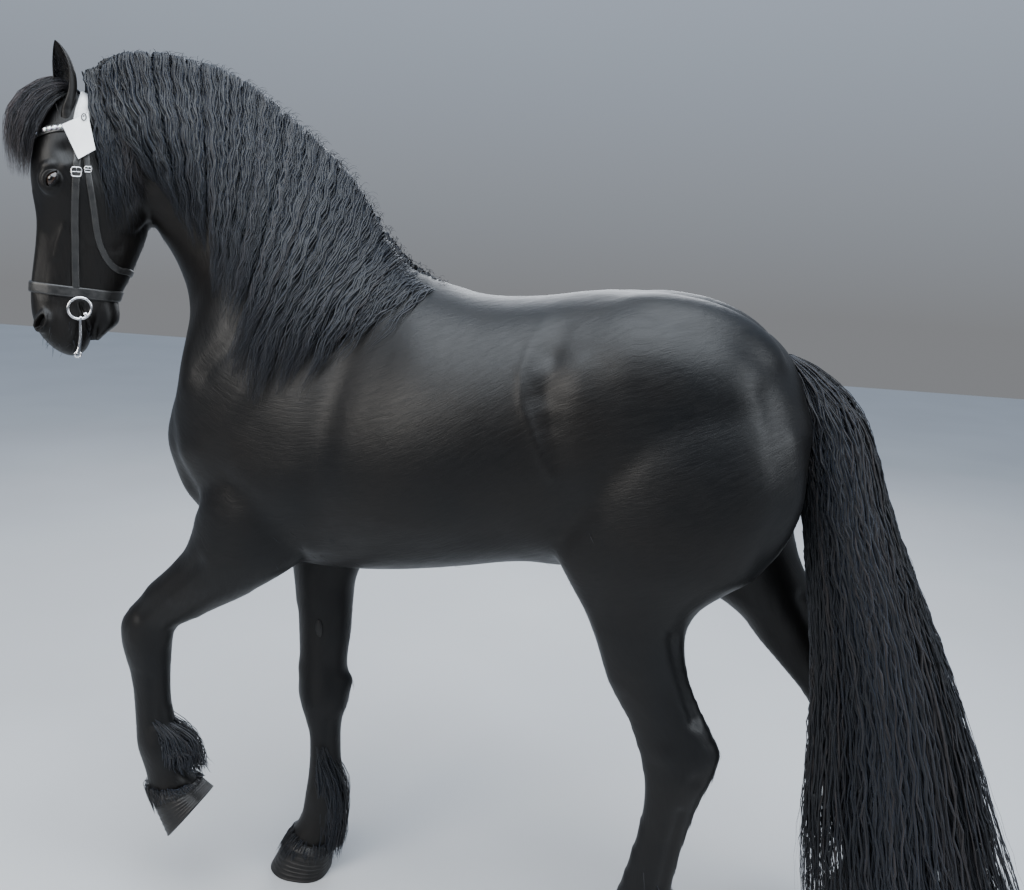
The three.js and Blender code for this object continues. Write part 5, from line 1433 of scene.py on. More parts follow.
def make_tufts(skin, material, skin_map):
    points, normals = numpy_of(skin), normals_of(skin)
    straight, local = unbend(points), to_poll(points)
    roots, lengths, tilts = [], [], []

    def grow(chosen, length, tilt):
        roots.append(chosen)
        lengths.append(length * rng.uniform(0.6, 1.2, len(chosen)))
        tilts.append(np.full(len(chosen), tilt))

    for line, reach, density, length, tilt in TUFT_LINES:
        middle = all(y == 0 for _, y, _ in line)
        for side in (1,) if middle else (1, -1):
            placed = np.array(line, float) * [1, side, 1]
            near = np.exp(-((line_distance(straight, placed, 0.6) / reach) ** 2))
            grow(np.nonzero(rng.random(len(points)) < near * density)[0], length, tilt)
    legs = (straight[:, 2] < 700) & (straight[:, 2] > 300) & (normals[:, 0] < -0.86)
    legs &= rng.random(len(points)) < 0.4
    jaw = in_head(points) & (local[:, 0] < -20) & (local[:, 2] < -220) & (local[:, 2] > -400)
    jaw &= (np.abs(local[:, 1]) < 26) & (rng.random(len(points)) < 0.12)
    grow(np.nonzero(legs)[0], 26, 0.16)
    grow(np.nonzero(jaw)[0], 24, 0.3)
    roots, lengths, tilts = np.concatenate(roots), np.concatenate(lengths), np.concatenate(tilts)
    ways = normals[roots]
    jitter = rng.normal(0, 2.5, (len(roots), 3))
    jitter -= ways * (jitter * ways).sum(axis=1, keepdims=True)
    tilts = tilts * rng.uniform(0.6, 1.3, len(roots))
    paths = laid_locks(points[roots] + jitter, ways, lengths, tilts, 0.12)
    width = some_widths(paths, 1.0, 1.1, 0.6, 1.2)
    add_hair("tufts", paths, ways[:, None], width, material, skin_map, flat=0.4)


def make_ear_hair(material, skin_map):
    """Hair inside the ears and on their rims."""
    paths, ways = [], []
    t = np.linspace(0, 1, SHORT)[:, None]
    for side in (1, -1):
        base, tip, broad, deep = ear_axes(side)
        up = unit(tip - base)
        for _ in range(240):
            share, turn = rng.uniform(0.02, 0.8), rng.uniform(-1.5, 1.5)
            size = np.interp(share, EAR_SHARES, EAR_WIDTHS) - 4
            out, back = np.sin(turn), np.cos(turn)
            root = ear_middle(side, share) + broad * out * size - deep * back * size * EAR_DEEP
            aim = unit(deep * 0.9 - broad * 0.35 * out + up * 0.7)
            length = rng.uniform(14, 26) * (1 - 0.5 * share)
            paths.append(root + aim * length * t + up * length * 0.25 * t * t)
            ways.append(np.tile(broad, (SHORT, 1)))
    paths = from_poll(np.array(paths))
    width = some_widths(paths, 1.2, 1.5, 0.6, 1.2)
    add_hair("ear_hair", paths, turn_head(np.array(ways)), width, material, skin_map, flat=0.4)


def make_hoof_fringe(material, skin_map):
    """The fringe that hangs over each hoof from its coronet, longest in front."""
    paths, ways = [], []
    t = np.linspace(0, 1, 6)
    for top, sole, side in HOOVES.values():
        top, sole = np.array(top, float), np.array(sole, float)
        drop = sole - top
        axis = unit([drop[0] + drop[2], 0, drop[1] + drop[3]])
        height = abs(axis @ [drop[0], 0, drop[1]])
        for _ in range(400):
            angle = rng.uniform(-np.pi, np.pi)
            c, w = np.cos(angle), np.sin(angle)
            length = rng.uniform(18, 72) * (0.35 + 0.65 * (c + 1) / 2)
            share = rng.uniform(-0.3, 0.0) + length / height * t
            row = top + drop * share[:, None]
            fore, aft = row[:, 0:2], row[:, 2:4]
            middle, reach = np.insert((fore + aft) / 2, 1, row[:, 4], axis=1), (fore - aft) / 2
            power = 2 / HOOF_FORM[2] if c < 0 else 1
            out = np.insert(reach * np.sign(c) * abs(c) ** power, 1, 0.0, axis=1)
            out[:, 1] = row[:, 5] * np.sign(w) * abs(w) ** power
            down = t[:, None]
            line = middle + out * (0.93 + 0.07 * fade(down, 0, 0.25))
            line = line + unit(out) * (3.2 * fade(down, 0, 0.3) + 4 * down * down)
            paths.append(line * [1, side, 1])
            ways.append(unit(out) * [1, side, 1])
    paths = np.array(paths)
    paths[..., 2] = np.maximum(paths[..., 2], 3)
    width = some_widths(paths, 2.0, 2.4, 0.6, 1.3)
    add_hair("hoof_fringe", paths, np.array(ways), width, material, skin_map, flat=0.36)


def make_whiskers(material, skin_map):
    """Whiskers about the lips, and lashes over the eyes."""
    paths, ways = [], []
    t = np.linspace(0, 1, SHORT)[:, None]
    for _ in range(70):
        side = rng.choice([-1, 1])
        root = np.array([rng.uniform(0, 110), 0, rng.uniform(-570, -500)])
        root[1] = side * rng.uniform(18, 52)
        aim = unit([rng.uniform(-0.2, 0.6), side * 0.8, rng.uniform(-0.9, 0.1)])
        found = skin_map.surface.find_nearest(Vector(from_poll(root)))[0]
        start = to_poll(np.array(found)[None])[0]
        paths.append(start + aim * rng.uniform(18, 38) * t + np.array([0, 0, -7.0]) * t * t)
        ways.append(np.tile([0.3, side * 0.2, 0.9], (SHORT, 1)))
    for side in (1, -1):
        out, long, across = eye_frame(side)
        for a in np.linspace(-16, 15, 34):
            arch = LID_UP * lid_arch(a)
            depth = np.sqrt(max(0.0, (EYE_RADIUS + LID) ** 2 - a * a - arch * arch))
            root = eye_centre(side) + long * a + across * (arch + 1.0) + out * depth
            aim = out * 0.8 + across * 0.35 + long * 0.01 * a
            paths.append(root + aim * rng.uniform(9, 15) * t - across * 5 * t * t)
            ways.append(np.tile(across, (SHORT, 1)))
    paths = from_poll(np.array(paths))
    width = np.tile(taper(SHORT, 0.8, 0.8), (len(paths), 1))
    add_hair("whiskers", paths, turn_head(unit(np.array(ways))), width, material, skin_map, flat=0.7)


# Looks: every material is made of the same few kinds of node

class Look:
    """A material under construction, with short words for its nodes."""

    def __init__(self, name, rough, metal=0.0):
        self.material = bpy.data.materials.new(name)
        self.material.use_nodes = True
        self.tree = self.material.node_tree
        self.shader = self.tree.nodes["Principled BSDF"]
        self.put("Roughness", rough)
        self.put("Metallic", metal)
        self.last_bump = None

    def put(self, socket, value):
        self.feed(self.shader.inputs[socket], value)

    def feed(self, socket, value):
        """Joins a socket to another node's result, or sets its constant."""
        if isinstance(value, bpy.types.NodeSocket):
            self.tree.links.new(value, socket)
        else:
            socket.default_value = value

    def node(self, kind, inputs=None, **settings):
        node = self.tree.nodes.new("ShaderNode" + kind)
        for key, value in settings.items():
            setattr(node, key, value)
        for key, value in (inputs or {}).items():
            self.feed(node.inputs[key], value)
        return node

    def place(self):
        return self.node("TexCoord").outputs["Object"]

    def map(self, name):
        return self.node("UVMap", uv_map=name).outputs["UV"]

    def value(self, name):
        return self.node("Attribute", attribute_name=name).outputs["Fac"]

    def stretched(self, vector, scale, turn=0.0):
        """The coordinates scaled, after a turn about the third axis."""
        turned = self.node("VectorRotate", {"Vector": vector, "Angle": turn}, rotation_type="Z_AXIS")
        return self.node("Mapping", {"Vector": turned.outputs[0], "Scale": scale}).outputs[0]

    def noise(self, vector, scale, detail=3.0, rough=0.55, distortion=0.0):
        inputs = {"Vector": vector, "Scale": scale, "Detail": detail, "Roughness": rough,
                  "Distortion": distortion}
        return self.node("TexNoise", inputs).outputs["Fac"]

    def ramp(self, value, *stops):
        node = self.node("ValToRGB", {"Fac": value})
        elements = node.color_ramp.elements
        while len(elements) < len(stops):
            elements.new(0.5)
        for element, (at, colour) in zip(elements, stops):
            element.position = at
            element.color = (*colour, 1) if isinstance(colour, tuple) else (colour,) * 3 + (1,)
        return node.outputs["Color"]

    def math(self, how, a, b=0.0):
        return self.node("Math", {0: a, 1: b}, operation=how).outputs[0]

    def mix(self, share, a, b, how="MIX"):
        node = self.node("Mix", data_type="RGBA", blend_type=how)
        for index, value in ((0, share), (6, a), (7, b)):
            self.feed(node.inputs[index], (*value, 1) if isinstance(value, tuple) else value)
        return node.outputs[2]

    def bump(self, height, depth, strength=1.0):
        inputs = {"Height": height, "Distance": depth, "Strength": strength}
        if self.last_bump:
            inputs["Normal"] = self.last_bump
        self.last_bump = self.node("Bump", inputs).outputs[0]
        self.put("Normal", self.last_bump)


def coat_look():
    look = Look("black coat", 0.42)
    fur = look.map("Fur")
    spot = look.place()
    strokes = look.noise(look.stretched(fur, (520, 40, 1), 0.35), 1.0, 3, 0.6)
    tufts = look.noise(look.stretched(fur, (150, 17, 1), 0.35), 1.0, 4, 0.6, 0.6)
    ripples = look.noise(spot, 24.0, 3, 0.5)
    broad = look.noise(spot, 3.2, 3, 0.5)
    warm = look.ramp(broad, (0.35, (0.0010, 0.0011, 0.0014)), (0.65, (0.0028, 0.0022, 0.0018)))
    shade = look.ramp(strokes, (0.3, 0.55), (0.7, 1.5))
    look.put("Base Color", look.mix(1.0, warm, shade, "MULTIPLY"))
    look.put("Roughness", look.ramp(tufts, (0.25, 0.36), (0.75, 0.5)))
    look.put("Specular IOR Level", 0.22)
    look.bump(ripples, 0.003, 0.3)
    look.bump(tufts, 0.0009, 0.55)
    look.bump(strokes, 0.0005, 0.7)
    return look.material


HAIR_WAVE = 0.03  # metres from one fine wave to the next


def hair_look(name, dark, middle, light):
    look = Look(name, 0.5)
    tone, run, along, across = (look.value(name) for name in ("tone", "run", "along", "across"))
    inputs = {"X": look.math("MULTIPLY", across, 3.2), "Y": look.math("MULTIPLY", run, 22.0)}
    inputs["Z"] = look.math("MULTIPLY", tone, 83.0)
    lines = look.noise(look.node("CombineXYZ", inputs).outputs[0], 1.0, 3, 0.6)
    base = look.ramp(tone, (0.0, dark), (0.7, middle), (1.0, light))
    tip = look.ramp(along, (0.0, 0.85), (0.55, 1.0), (1.0, 1.8))
    streaks = look.ramp(lines, (0.3, 0.5), (0.7, 1.6))
    base = look.mix(1.0, base, tip, "MULTIPLY")
    look.put("Base Color", look.mix(1.0, base, streaks, "MULTIPLY"))
    look.put("Roughness", look.ramp(tone, (0.0, 0.42), (1.0, 0.58)))
    look.put("Specular IOR Level", 0.3)
    look.put("Sheen Weight", 0.06)
    look.put("Sheen Roughness", 0.45)
    look.put("Sheen Tint", (0.6, 0.72, 1.0, 1.0))
    wave = look.math("MULTIPLY", run, 2 * np.pi / HAIR_WAVE)
    angle = look.math("ADD", wave, look.math("MULTIPLY", tone, 9.0))
    look.bump(look.math("SINE", angle), 0.0006, 0.6)
    look.bump(lines, 0.0006, 0.8)
    return look.material


def hoof_look():
    look = Look("black hoof horn", 0.42)
    spot = look.place()
    grain = look.noise(look.stretched(spot, (700, 700, 28)), 1.0, 3, 0.6)
    rings = look.noise(look.stretched(spot, (9, 9, 210)), 1.0, 2, 0.5)
    dirt = look.noise(spot, 46.0, 5, 0.65)
    base = look.ramp(dirt, (0.35, (0.0035, 0.0032, 0.0032)), (0.75, (0.012, 0.0105, 0.0095)))
    look.put("Base Color", look.mix(1.0, base, look.ramp(grain, (0.2, 0.7), (0.8, 1.3)), "MULTIPLY"))
    look.put("Roughness", look.ramp(dirt, (0.3, 0.34), (0.8, 0.62)))
    look.put("Specular IOR Level", 0.3)
    look.bump(rings, 0.0008, 0.7)
    look.bump(grain, 0.0006, 0.7)
    return look.material


STITCHES = 210.0  # in a metre of seam


def leather_look(name, dark, light, rough, thread):
    look = Look(name, rough)
    spot = look.place()
    pores = look.node("TexVoronoi", {"Vector": spot, "Scale": 620.0}).outputs["Distance"]
    wear = look.noise(spot, 60.0, 4, 0.6)
    base = look.ramp(wear, (0.35, dark), (0.75, light))
    across, run = look.value("across"), look.value("run")
    edge = look.math("ABSOLUTE", look.math("SUBTRACT", look.math("ABSOLUTE", across), 0.74))
    seam = look.math("LESS_THAN", edge, 0.045)
    beat = look.math("FRACT", look.math("MULTIPLY", run, STITCHES))
    beat = look.math("LESS_THAN", beat, 0.62)
    stitch = look.math("MULTIPLY", seam, beat)
    look.put("Base Color", look.mix(stitch, base, thread))
    look.put("Roughness", look.ramp(wear, (0.3, rough - 0.06), (0.8, rough + 0.14)))
    look.bump(pores, 0.0003, 0.5)
    look.bump(stitch, 0.0007, 0.9)
    return look.material


def steel_look():
    look = Look("polished steel", 0.16, metal=1.0)
    spot = look.place()
    scratches = look.noise(look.stretched(spot, (60, 900, 900)), 1.0, 2, 0.5)
    cloud = look.noise(spot, 90.0, 3, 0.5)
    look.put("Roughness", look.ramp(cloud, (0.3, 0.1), (0.8, 0.3)))
    look.put("Base Color", look.ramp(cloud, (0.3, (0.72, 0.72, 0.74)), (0.8, (0.5, 0.5, 0.52))))
    look.bump(scratches, 0.0001, 0.35)
    return look.material


def card_look():
    look = Look("white card", 0.55)
    spot = look.place()
    fibres = look.noise(spot, 900.0, 3, 0.6)
    stains = look.noise(spot, 38.0, 4, 0.6)
    look.put("Base Color", look.ramp(stains, (0.3, (0.78, 0.79, 0.8)), (0.75, (0.9, 0.9, 0.89))))
    look.bump(fibres, 0.0002, 0.4)
    return look.material


def crystal_look():
    look = Look("clear stone", 0.04, metal=0.75)
    # painted reflections: random tints per cell in the base colour stand in for the glints of cut facets,
    # as the clear stone has no colour of its own
    painted_facet_glints = look.node("TexVoronoi", {"Vector": look.place(), "Scale": 300.0}).outputs["Color"]
    look.put("Base Color", look.mix(0.5, painted_facet_glints, (0.95, 0.97, 1.0)))
    return look.material


def eye_look():
    look = Look("eye", 0.02)
    out, wide = look.value("out"), look.value("wide")
    spot = look.place()
    fibres = look.noise(look.stretched(spot, (700, 700, 200)), 1.0, 4, 0.6)
    iris = look.ramp(fibres, (0.3, (0.006, 0.003, 0.0015)), (0.7, (0.026, 0.011, 0.005)))
    rim = look.ramp(out, (0.0, 1.0), (0.62, 1.0), (0.76, 0.18), (1.0, 0.12))
    pupil = look.ramp(wide, (0.0, 0.0), (0.42, 0.0), (0.5, 1.0))
    colour = look.mix(1.0, look.mix(1.0, iris, rim, "MULTIPLY"), pupil, "MULTIPLY")
    look.put("Base Color", colour)
    look.put("Specular IOR Level", 0.3)
    look.put("Coat Weight", 0.5)
    look.put("Coat Roughness", 0.01)
    look.bump(fibres, 0.00008, 0.3)
    return look.material


def floor_look():
    look = Look("pale floor", 0.7)
    broad = look.noise(look.place(), 0.9, 3, 0.5)
    fine = look.noise(look.place(), 140.0, 4, 0.6)
    look.put("Base Color", look.ramp(broad, (0.3, (0.37, 0.37, 0.37)), (0.7, (0.4, 0.4, 0.4))))
    look.bump(fine, 0.0006, 0.3)
    return look.material


# Eyes, hooves and tack
PUPIL = (9.5, 4.8)  # half its length and height


def eye_mesh(side):
    out, long, across = eye_frame(side)
    steps, sides = 30, 48
    down, turn = np.linspace(0.02, np.pi - 0.02, steps), around(sides)
    a = np.outer(np.sin(down), np.cos(turn)) * EYE_RADIUS
    b = np.outer(np.sin(down), np.sin(turn)) * EYE_RADIUS * side
    bulge = 1 + 0.035 * np.exp(-((down / 0.5) ** 4))[:, None]
    w = np.cos(down)[:, None] * EYE_RADIUS * bulge + np.zeros_like(a)
    points = eye_centre(side) + a[..., None] * long + b[..., None] * across + w[..., None] * out
    mesh = mesh_of("eye", *loft(from_poll(points)))
    off = np.append(np.hypot(a, b).ravel() / EYE_RADIUS, [0, 0])
    wide = np.append(np.hypot(a / PUPIL[0], b / PUPIL[1]).ravel() / 2, [0, 2])
    set_value(mesh, "out", np.clip(off, 0, 1))
    set_value(mesh, "wide", np.clip(wide, 0, 1))
    return mesh


def make_eyes(material):
    for side, word in SIDES:
        add_piece(f"eye_{word}", eye_mesh(side), material, (f"eye_{word}",))


def sole_rows(sole, base):
    """The raised hoof's underside: its rim, the hollow sole, the bars and the frog."""
    toe, heel = np.insert(sole[0:2], 1, sole[4]), np.insert(sole[2:4], 1, sole[4])
    centre, ahead = (toe + heel) / 2, unit(toe - heel)
    inwards = np.array([-ahead[2], 0, ahead[0]])
    rows = []
    for scale, depth in ((0.93, 0), (0.88, 2), (0.84, 6), (0.7, 8), (0.5, 9), (0.25, 9), (0.08, 9)):
        ring = centre + (base - centre) * scale + inwards * depth
        back, off = (ring - centre) @ ahead, np.abs((ring - centre)[:, 1])
        frog = 9 * np.exp(-((off - 4) / 15) ** 2) * fade(-back, -30, 20)
        frog -= 4 * np.exp(-(off / 4) ** 2) * fade(-back, -10, 20)
        bars = 5 * np.exp(-((off - 24 + 0.3 * back) / 4.5) ** 2) * fade(-back, -16, 12)
        inner = fade(1 - scale, 0.1, 0.2)
        rows.append(ring - inwards[None] * ((frog + bars) * inner)[:, None])
    return rows


def hoof_mesh(name):
    """A hoof from above its coronet to the ground, with the growth rings of its wall."""
    top, sole, side = HOOVES[name]
    top, sole = np.array(top, float), np.array(sole, float)
    rows = []
    for share in np.concatenate([[-0.14, -0.07, 0.0], np.linspace(0.03, 0.985, 44), [1.0]]):
        grow = 2.2 * np.exp(-((share - 0.06) / 0.07) ** 2) - 2.5 * (share < -0.1)
        grow += 0.32 * np.sin(share * 46 + 0.9 * np.sin(share * 9)) * fade(share, 0.08, 0.2)
        grow += 0.22 * np.sin(share * 97 + 2) * fade(share, 0.1, 0.3) - 1.6 * (share > 0.995)
        station = np.concatenate([top + (sole - top) * share, HOOF_FORM])
        station[5] += grow
        ring = rings([station, station], 72, 0, 1)[0]
        middle = ring.mean(axis=0)
        flat = ring - middle
        reach = np.maximum(np.linalg.norm(flat, axis=1), 1)[:, None]
        rows.append(middle + flat * (1 + grow / reach))
    if name == "fore_left":
        rows += sole_rows(sole, rows[-1])
    rows = np.array(rows) * [1, side, 1]
    vertices, faces = loft(rows[:, ::side])
    vertices[:, 2] = np.maximum(vertices[:, 2], 0.0)
    return mesh_of("hoof", vertices, faces)


def make_hooves(material):
    for name in HOOVES:
        add_piece(f"hoof_{name}", hoof_mesh(name), material, (f"hoof_{name}",))


def tangents(path, closed):
    if closed:
        return unit(np.roll(path, -1, axis=0) - np.roll(path, 1, axis=0))
    return unit(np.gradient(path, axis=0))


def closed_loft(rows):
    """Rings joined into a loop, without ends."""
    last = rows.shape[0] * rows.shape[1]
    vertices, faces = loft(np.concatenate([rows, rows[:1]]))
    faces = [[i - last if i >= last else i for i in face] for face in faces if len(face) == 4]
    return vertices[:last], faces


def spread_once(rows, closed):
    """The mean of each row's two neighbours along a strap."""
    if closed:
        return (np.roll(rows, -1, 0) + np.roll(rows, 1, 0)) / 2
    padded = np.vstack([rows[:1], rows, rows[-1:]])
    return (padded[:-2] + padded[2:]) / 2


# Places across a strap from edge to edge, closer together where the edge rounds
ACROSS = np.array([-1, -0.96, -0.86, -0.74, -0.5, -0.2, 0.2, 0.5, 0.74, 0.86, 0.96, 1])
UNDER_STRAP = 1.6  # how far a strap's inner face sinks
OUTSIDE = 70.0  # from the head's middle to a place off its side


class Tack:
    """Straps and fittings laid on the sculpted head."""

    def __init__(self, surface, looks):
        self.surface = surface
        self.looks = looks

    def on_skin(self, points, ways):
        """Where lines towards the head meet it, with points and ways in the head's own frame."""
        start, way = from_poll(points + ways * OUTSIDE), -turn_head(ways)
        hits = np.full(points.shape, np.nan)
        for i in np.ndindex(points.shape[:-1]):
            hit = self.surface.ray_cast(Vector(start[i]), Vector(way[i]), OUTSIDE * 2.4)[0]
            if hit is not None:
                hits[i] = hit
        local = to_poll(hits.reshape(-1, 3)).reshape(points.shape)
        missed = np.isnan(local[..., 0])
        local[missed] = points[missed]
        return local

    def at(self, ahead, up, side=1):
        """The skin's place at the side of the head."""
        return self.on_skin(np.array([[ahead, side * OUTSIDE, up]]), np.array([[0, float(side), 0]]))[0]

    def strap(self, name, points, width, thick, lift, look="black", closed=False, steps=10):
        """A strap through places (ahead, side, up, outward way) with rounded edges."""
        table = np.array([[*p[:3], *unit(p[3])] for p in points])
        if closed:
            table = catmull(np.vstack([table, table[:1]]), steps)[:-1]
        else:
            table = catmull(table, steps)
        path, ways = table[:, :3], unit(table[:, 3:])
        ahead = tangents(path, closed)
        broad = unit(np.cross(ahead, ways))
        ways = unit(np.cross(broad, ahead))
        grid = path[:, None] + broad[:, None] * (ACROSS * width / 2)[None, :, None]
        ways = np.broadcast_to(ways[:, None], grid.shape).copy()
        height = ((self.on_skin(grid, ways) - grid) * ways).sum(axis=-1)
        # the leather is stiff, so it spans small hollows
        soft = height.copy()
        for _ in range(5):
            soft = np.maximum(0.5 * (soft + spread_once(soft, closed)), height - 0.3)
            padded = np.hstack([soft[:, :1], soft, soft[:, -1:]])
            soft = 0.5 * soft + 0.25 * (padded[:, :-2] + padded[:, 2:])
        round_edge = np.sqrt(np.clip(1 - np.abs(ACROSS) ** 8, 0, 1)) * 0.75 + 0.25
        outer = grid + ways * (soft + lift + thick * round_edge)[..., None]
        inner = grid + ways * (soft + lift - UNDER_STRAP)[..., None]
        ring = from_poll(np.concatenate([outer, inner[:, ::-1]], axis=1))
        mesh = mesh_of(name, *(closed_loft(ring) if closed else loft(ring)))
        steps_run = np.linalg.norm(np.diff(path, axis=0), axis=1)
        run = np.concatenate([[0], np.cumsum(steps_run)]) / 1000
        across = np.tile(np.concatenate([ACROSS, ACROSS[::-1] * 0]), len(ring))
        runs = np.repeat(run, ring.shape[1])
        if not closed:
            runs, across = np.append(runs, [run[0], run[-1]]), np.append(across, ACROSS[:2])
        set_value(mesh, "run", runs)
        set_value(mesh, "across", across)
        add_piece(name, mesh, self.looks[look], (name,))


def tube(path, radius, sides=10, closed=False, way=(0.3, 0.2, 0.93)):
    """A round bar along a path."""
    path = np.asarray(path, float)
    ahead = tangents(path, closed)
    one = unit(np.cross(ahead, unit(way)))
    two = np.cross(ahead, one)
    turn = around(sides)
    radius = np.broadcast_to(radius, (len(path),))[:, None, None]
    c, s = np.cos(turn)[None, :, None], np.sin(turn)[None, :, None]
    rows = (path[:, None] + radius * (c * one[:, None] + s * two[:, None]))[:, ::-1]
    return closed_loft(rows) if closed else loft(rows)


def poll_mesh(name, parts):
    """Parts in the head's own frame, joined as one mesh of the bent horse."""
    return mesh_of(name, *merged([(from_poll(vertices), faces) for vertices, faces in parts]))


def side_ring(centre, wide, tall, sides):
    """An upright ring that faces sideways."""
    turn = around(sides)
    return centre + np.stack([wide * np.cos(turn), 0 * turn, tall * np.sin(turn)], axis=1)


def buckle(centre, side, wide, tall, bar=1.5):
    """A rounded rectangle of steel with a bar and a prong, its long side along the strap."""
    ahead, out = unit((0.02, 0, 1)), unit((0, side, 0))
    across = np.cross(out, ahead)
    turn = np.linspace(0, 2 * np.pi, 41)[:-1]
    x, y = (np.sign(f) * np.abs(f) ** 0.45 * size / 2
            for f, size in ((np.cos(turn), wide), (np.sin(turn), tall)))
    frame_line = centre + np.outer(x, across) + np.outer(y, ahead)
    middle = centre + np.outer(np.linspace(-wide / 2, wide / 2, 5), across)
    prong = centre + np.outer(np.linspace(0, tall / 2 + 1.5, 6), ahead)
    prong = prong + np.outer([0.4, 1.6, 2.2, 2.4, 2.2, 1.6], out)
    return [tube(frame_line, bar, 8, True, out), tube(middle, bar * 0.8, 8, False, out),
            tube(prong, bar * 0.7, 8, False, out)]


def at_side(places, out, way):
    """Places (ahead, up) at this distance to the side, with their outward way."""
    return [(ahead, out, up, way) for ahead, up in places]


def make_straps(tack):
    sides = [(38, 34), (44, 8), (48, -22), (50, -48)]
    crown = [(34, 40, 58, (0, 0.7, 0.9)), (33, 16, 68, (0, 0.2, 1)), (33, -16, 68, (0, -0.2, 1)),
             (34, -40, 58, (0, -0.7, 0.9))]
    over = at_side(sides[::-1], 62.0, (0, 1, 0.12)) + crown + at_side(sides, -62.0, (0, -1, 0.12))
    tack.strap("bridle_headpiece", over, 36, 4.2, 1.2, "white")
    sides = [(128, -44), (104, -38), (78, -34), (56, -32)]
    front = [(148, 40, -52, (1, 0.5, 0.1)), (155, 0, -56, (1, 0, 0.1)), (148, -40, -52, (1, -0.5, 0.1))]
    brow = at_side(sides[::-1], 74.0, (0.2, 1, 0)) + front + at_side(sides, -74.0, (0.2, -1, 0))
    tack.strap("bridle_browband", brow, 20, 4.0, 1.0)
    places = [(52, -52), (54, -110), (55, -170), (54, -240), (50, -310), (46, -380), (42, -436)]
    for side, word in SIDES:
        cheek = at_side(places, side * OUTSIDE, (0.0, float(side), 0.0))
        tack.strap(f"bridle_cheek_{word}", cheek, 18, 3.6, 1.6)
    throat = [(38, -58), (30, -130), (14, -220), (-2, -300), (-28, -352), (-60, -376)]
    under = [(-92, 36, -388, (-0.8, 0.6, -0.6)), (-102, 0, -392, (-1, 0, -0.5)),
             (-92, -36, -388, (-0.8, -0.6, -0.6))]
    band = at_side(throat, OUTSIDE, (0, 1, 0)) + under + at_side(throat[::-1], -OUTSIDE, (0, -1, 0))
    tack.strap("bridle_throatlatch", band, 16, 3.4, 0.8)
    loop = []
    for angle in np.linspace(0, 2 * np.pi, 25)[:-1]:
        c, s = np.cos(angle), np.sin(angle)
        loop.append((40 + 100 * c, 52 * s, -418 - 22 * (1 - c) / 2, (0.55 * c + 0.001, s, 0.0)))
    tack.strap("bridle_noseband", loop, 27, 4.2, 1.0, closed=True, steps=4)


# Buckles of the cheek strap and the throat strap: place ahead and up, width and height
BUCKLES = ((55, -140, 22, 22), (30, -132, 15, 13))
STRAP_FACE = 6.4  # from the skin to a buckle's middle
STONE, SETTING = 4.6, 4.9  # radii


def make_buckles(tack):
    parts = []
    for side, _ in SIDES:
        for ahead, up, wide, tall in BUCKLES:
            at = tack.at(ahead, up, side) + np.array([0, side * STRAP_FACE, 0])
            parts += buckle(at, side, wide, tall)
    add_piece("buckles", poll_mesh("buckles", parts), tack.looks["steel"])


def make_stones(tack):
    """Stones along the browband, each in a steel ring."""
    stones, rims = [], []
    sides = [(128, -44), (116, -41), (104, -38), (92, -36), (80, -34)]
    spots = [(x, 74.0 * s, z, (0.2, s, 0)) for x, z in sides for s in (1, -1)]
    spots += [(148, y, -52 - 4 * (1 - (y / 40) ** 2), (1, 0.5 * y / 40, 0.1))
              for y in (-45, -30, -15, 0, 15, 30, 45)]
    turn = around(20)
    for ahead, side, up, way in spots:
        way = unit(way)
        spot = tack.on_skin(np.array([[ahead, side, up]], float), way[None])[0] + way * 6.6
        stones.append(ellipsoid(spot, np.full(3, STONE), 0.0, 14))
        one = unit(np.cross(way, [0, 0, 1.0]))
        two = np.cross(way, one)
        ring = SETTING * (np.outer(np.cos(turn), one) + np.outer(np.sin(turn), two))
        rims.append(tube(spot - way * 1.6 + ring, 1.1, 6, True, way))
    add_piece("browband_stones", poll_mesh("stones", stones), tack.looks["crystal"])
    add_piece("browband_settings", poll_mesh("settings", rims), tack.looks["steel"])


def make_bits(tack):
    sideways = (0, 1, 0)
    for side, word in SIDES:
        centre = np.array([34.0, tack.at(34, -470, side)[1] + side * 12, -466.0])
        shank = [[-3, 0, -20], [-3, 0, -40], [-4, side, -62], [-3, side * 2, -84],
                 [-1, side * 2, -100], [2, side * 2, -110]]
        mouth = [[-14, -side * 2, -14], [-14, -side * 12, -16], [-14, -side * 26, -18]]
        thick = np.interp(np.linspace(0, 1, 26), [0, 0.7, 1], [4.2, 3.8, 5.4])
        end = centre + np.array([0, side * 2.0, -112])
        parts = [
            tube(side_ring(centre, 26, 26, 48), 3.6, 12, True, sideways),
            tube(catmull(centre + np.array(shank, float), 5), thick, 12, False, sideways),
            tube(catmull(centre + np.array(mouth, float), 5), 5.2, 12, False, (0, 0, 1)),
            tube(side_ring(end, 7, 7, 48), 2.2, 10, True, sideways),
        ]
        name = f"bit_{word}"
        add_piece(name, poll_mesh(name, parts), tack.looks["steel"], (name,))


# The blank tag's corners, ahead and up, in order round its edge
TAG_CORNERS = np.array([[90.0, -32], [36, 0], [16, -84], [52, -110]])
TAG_THICK = 0.9


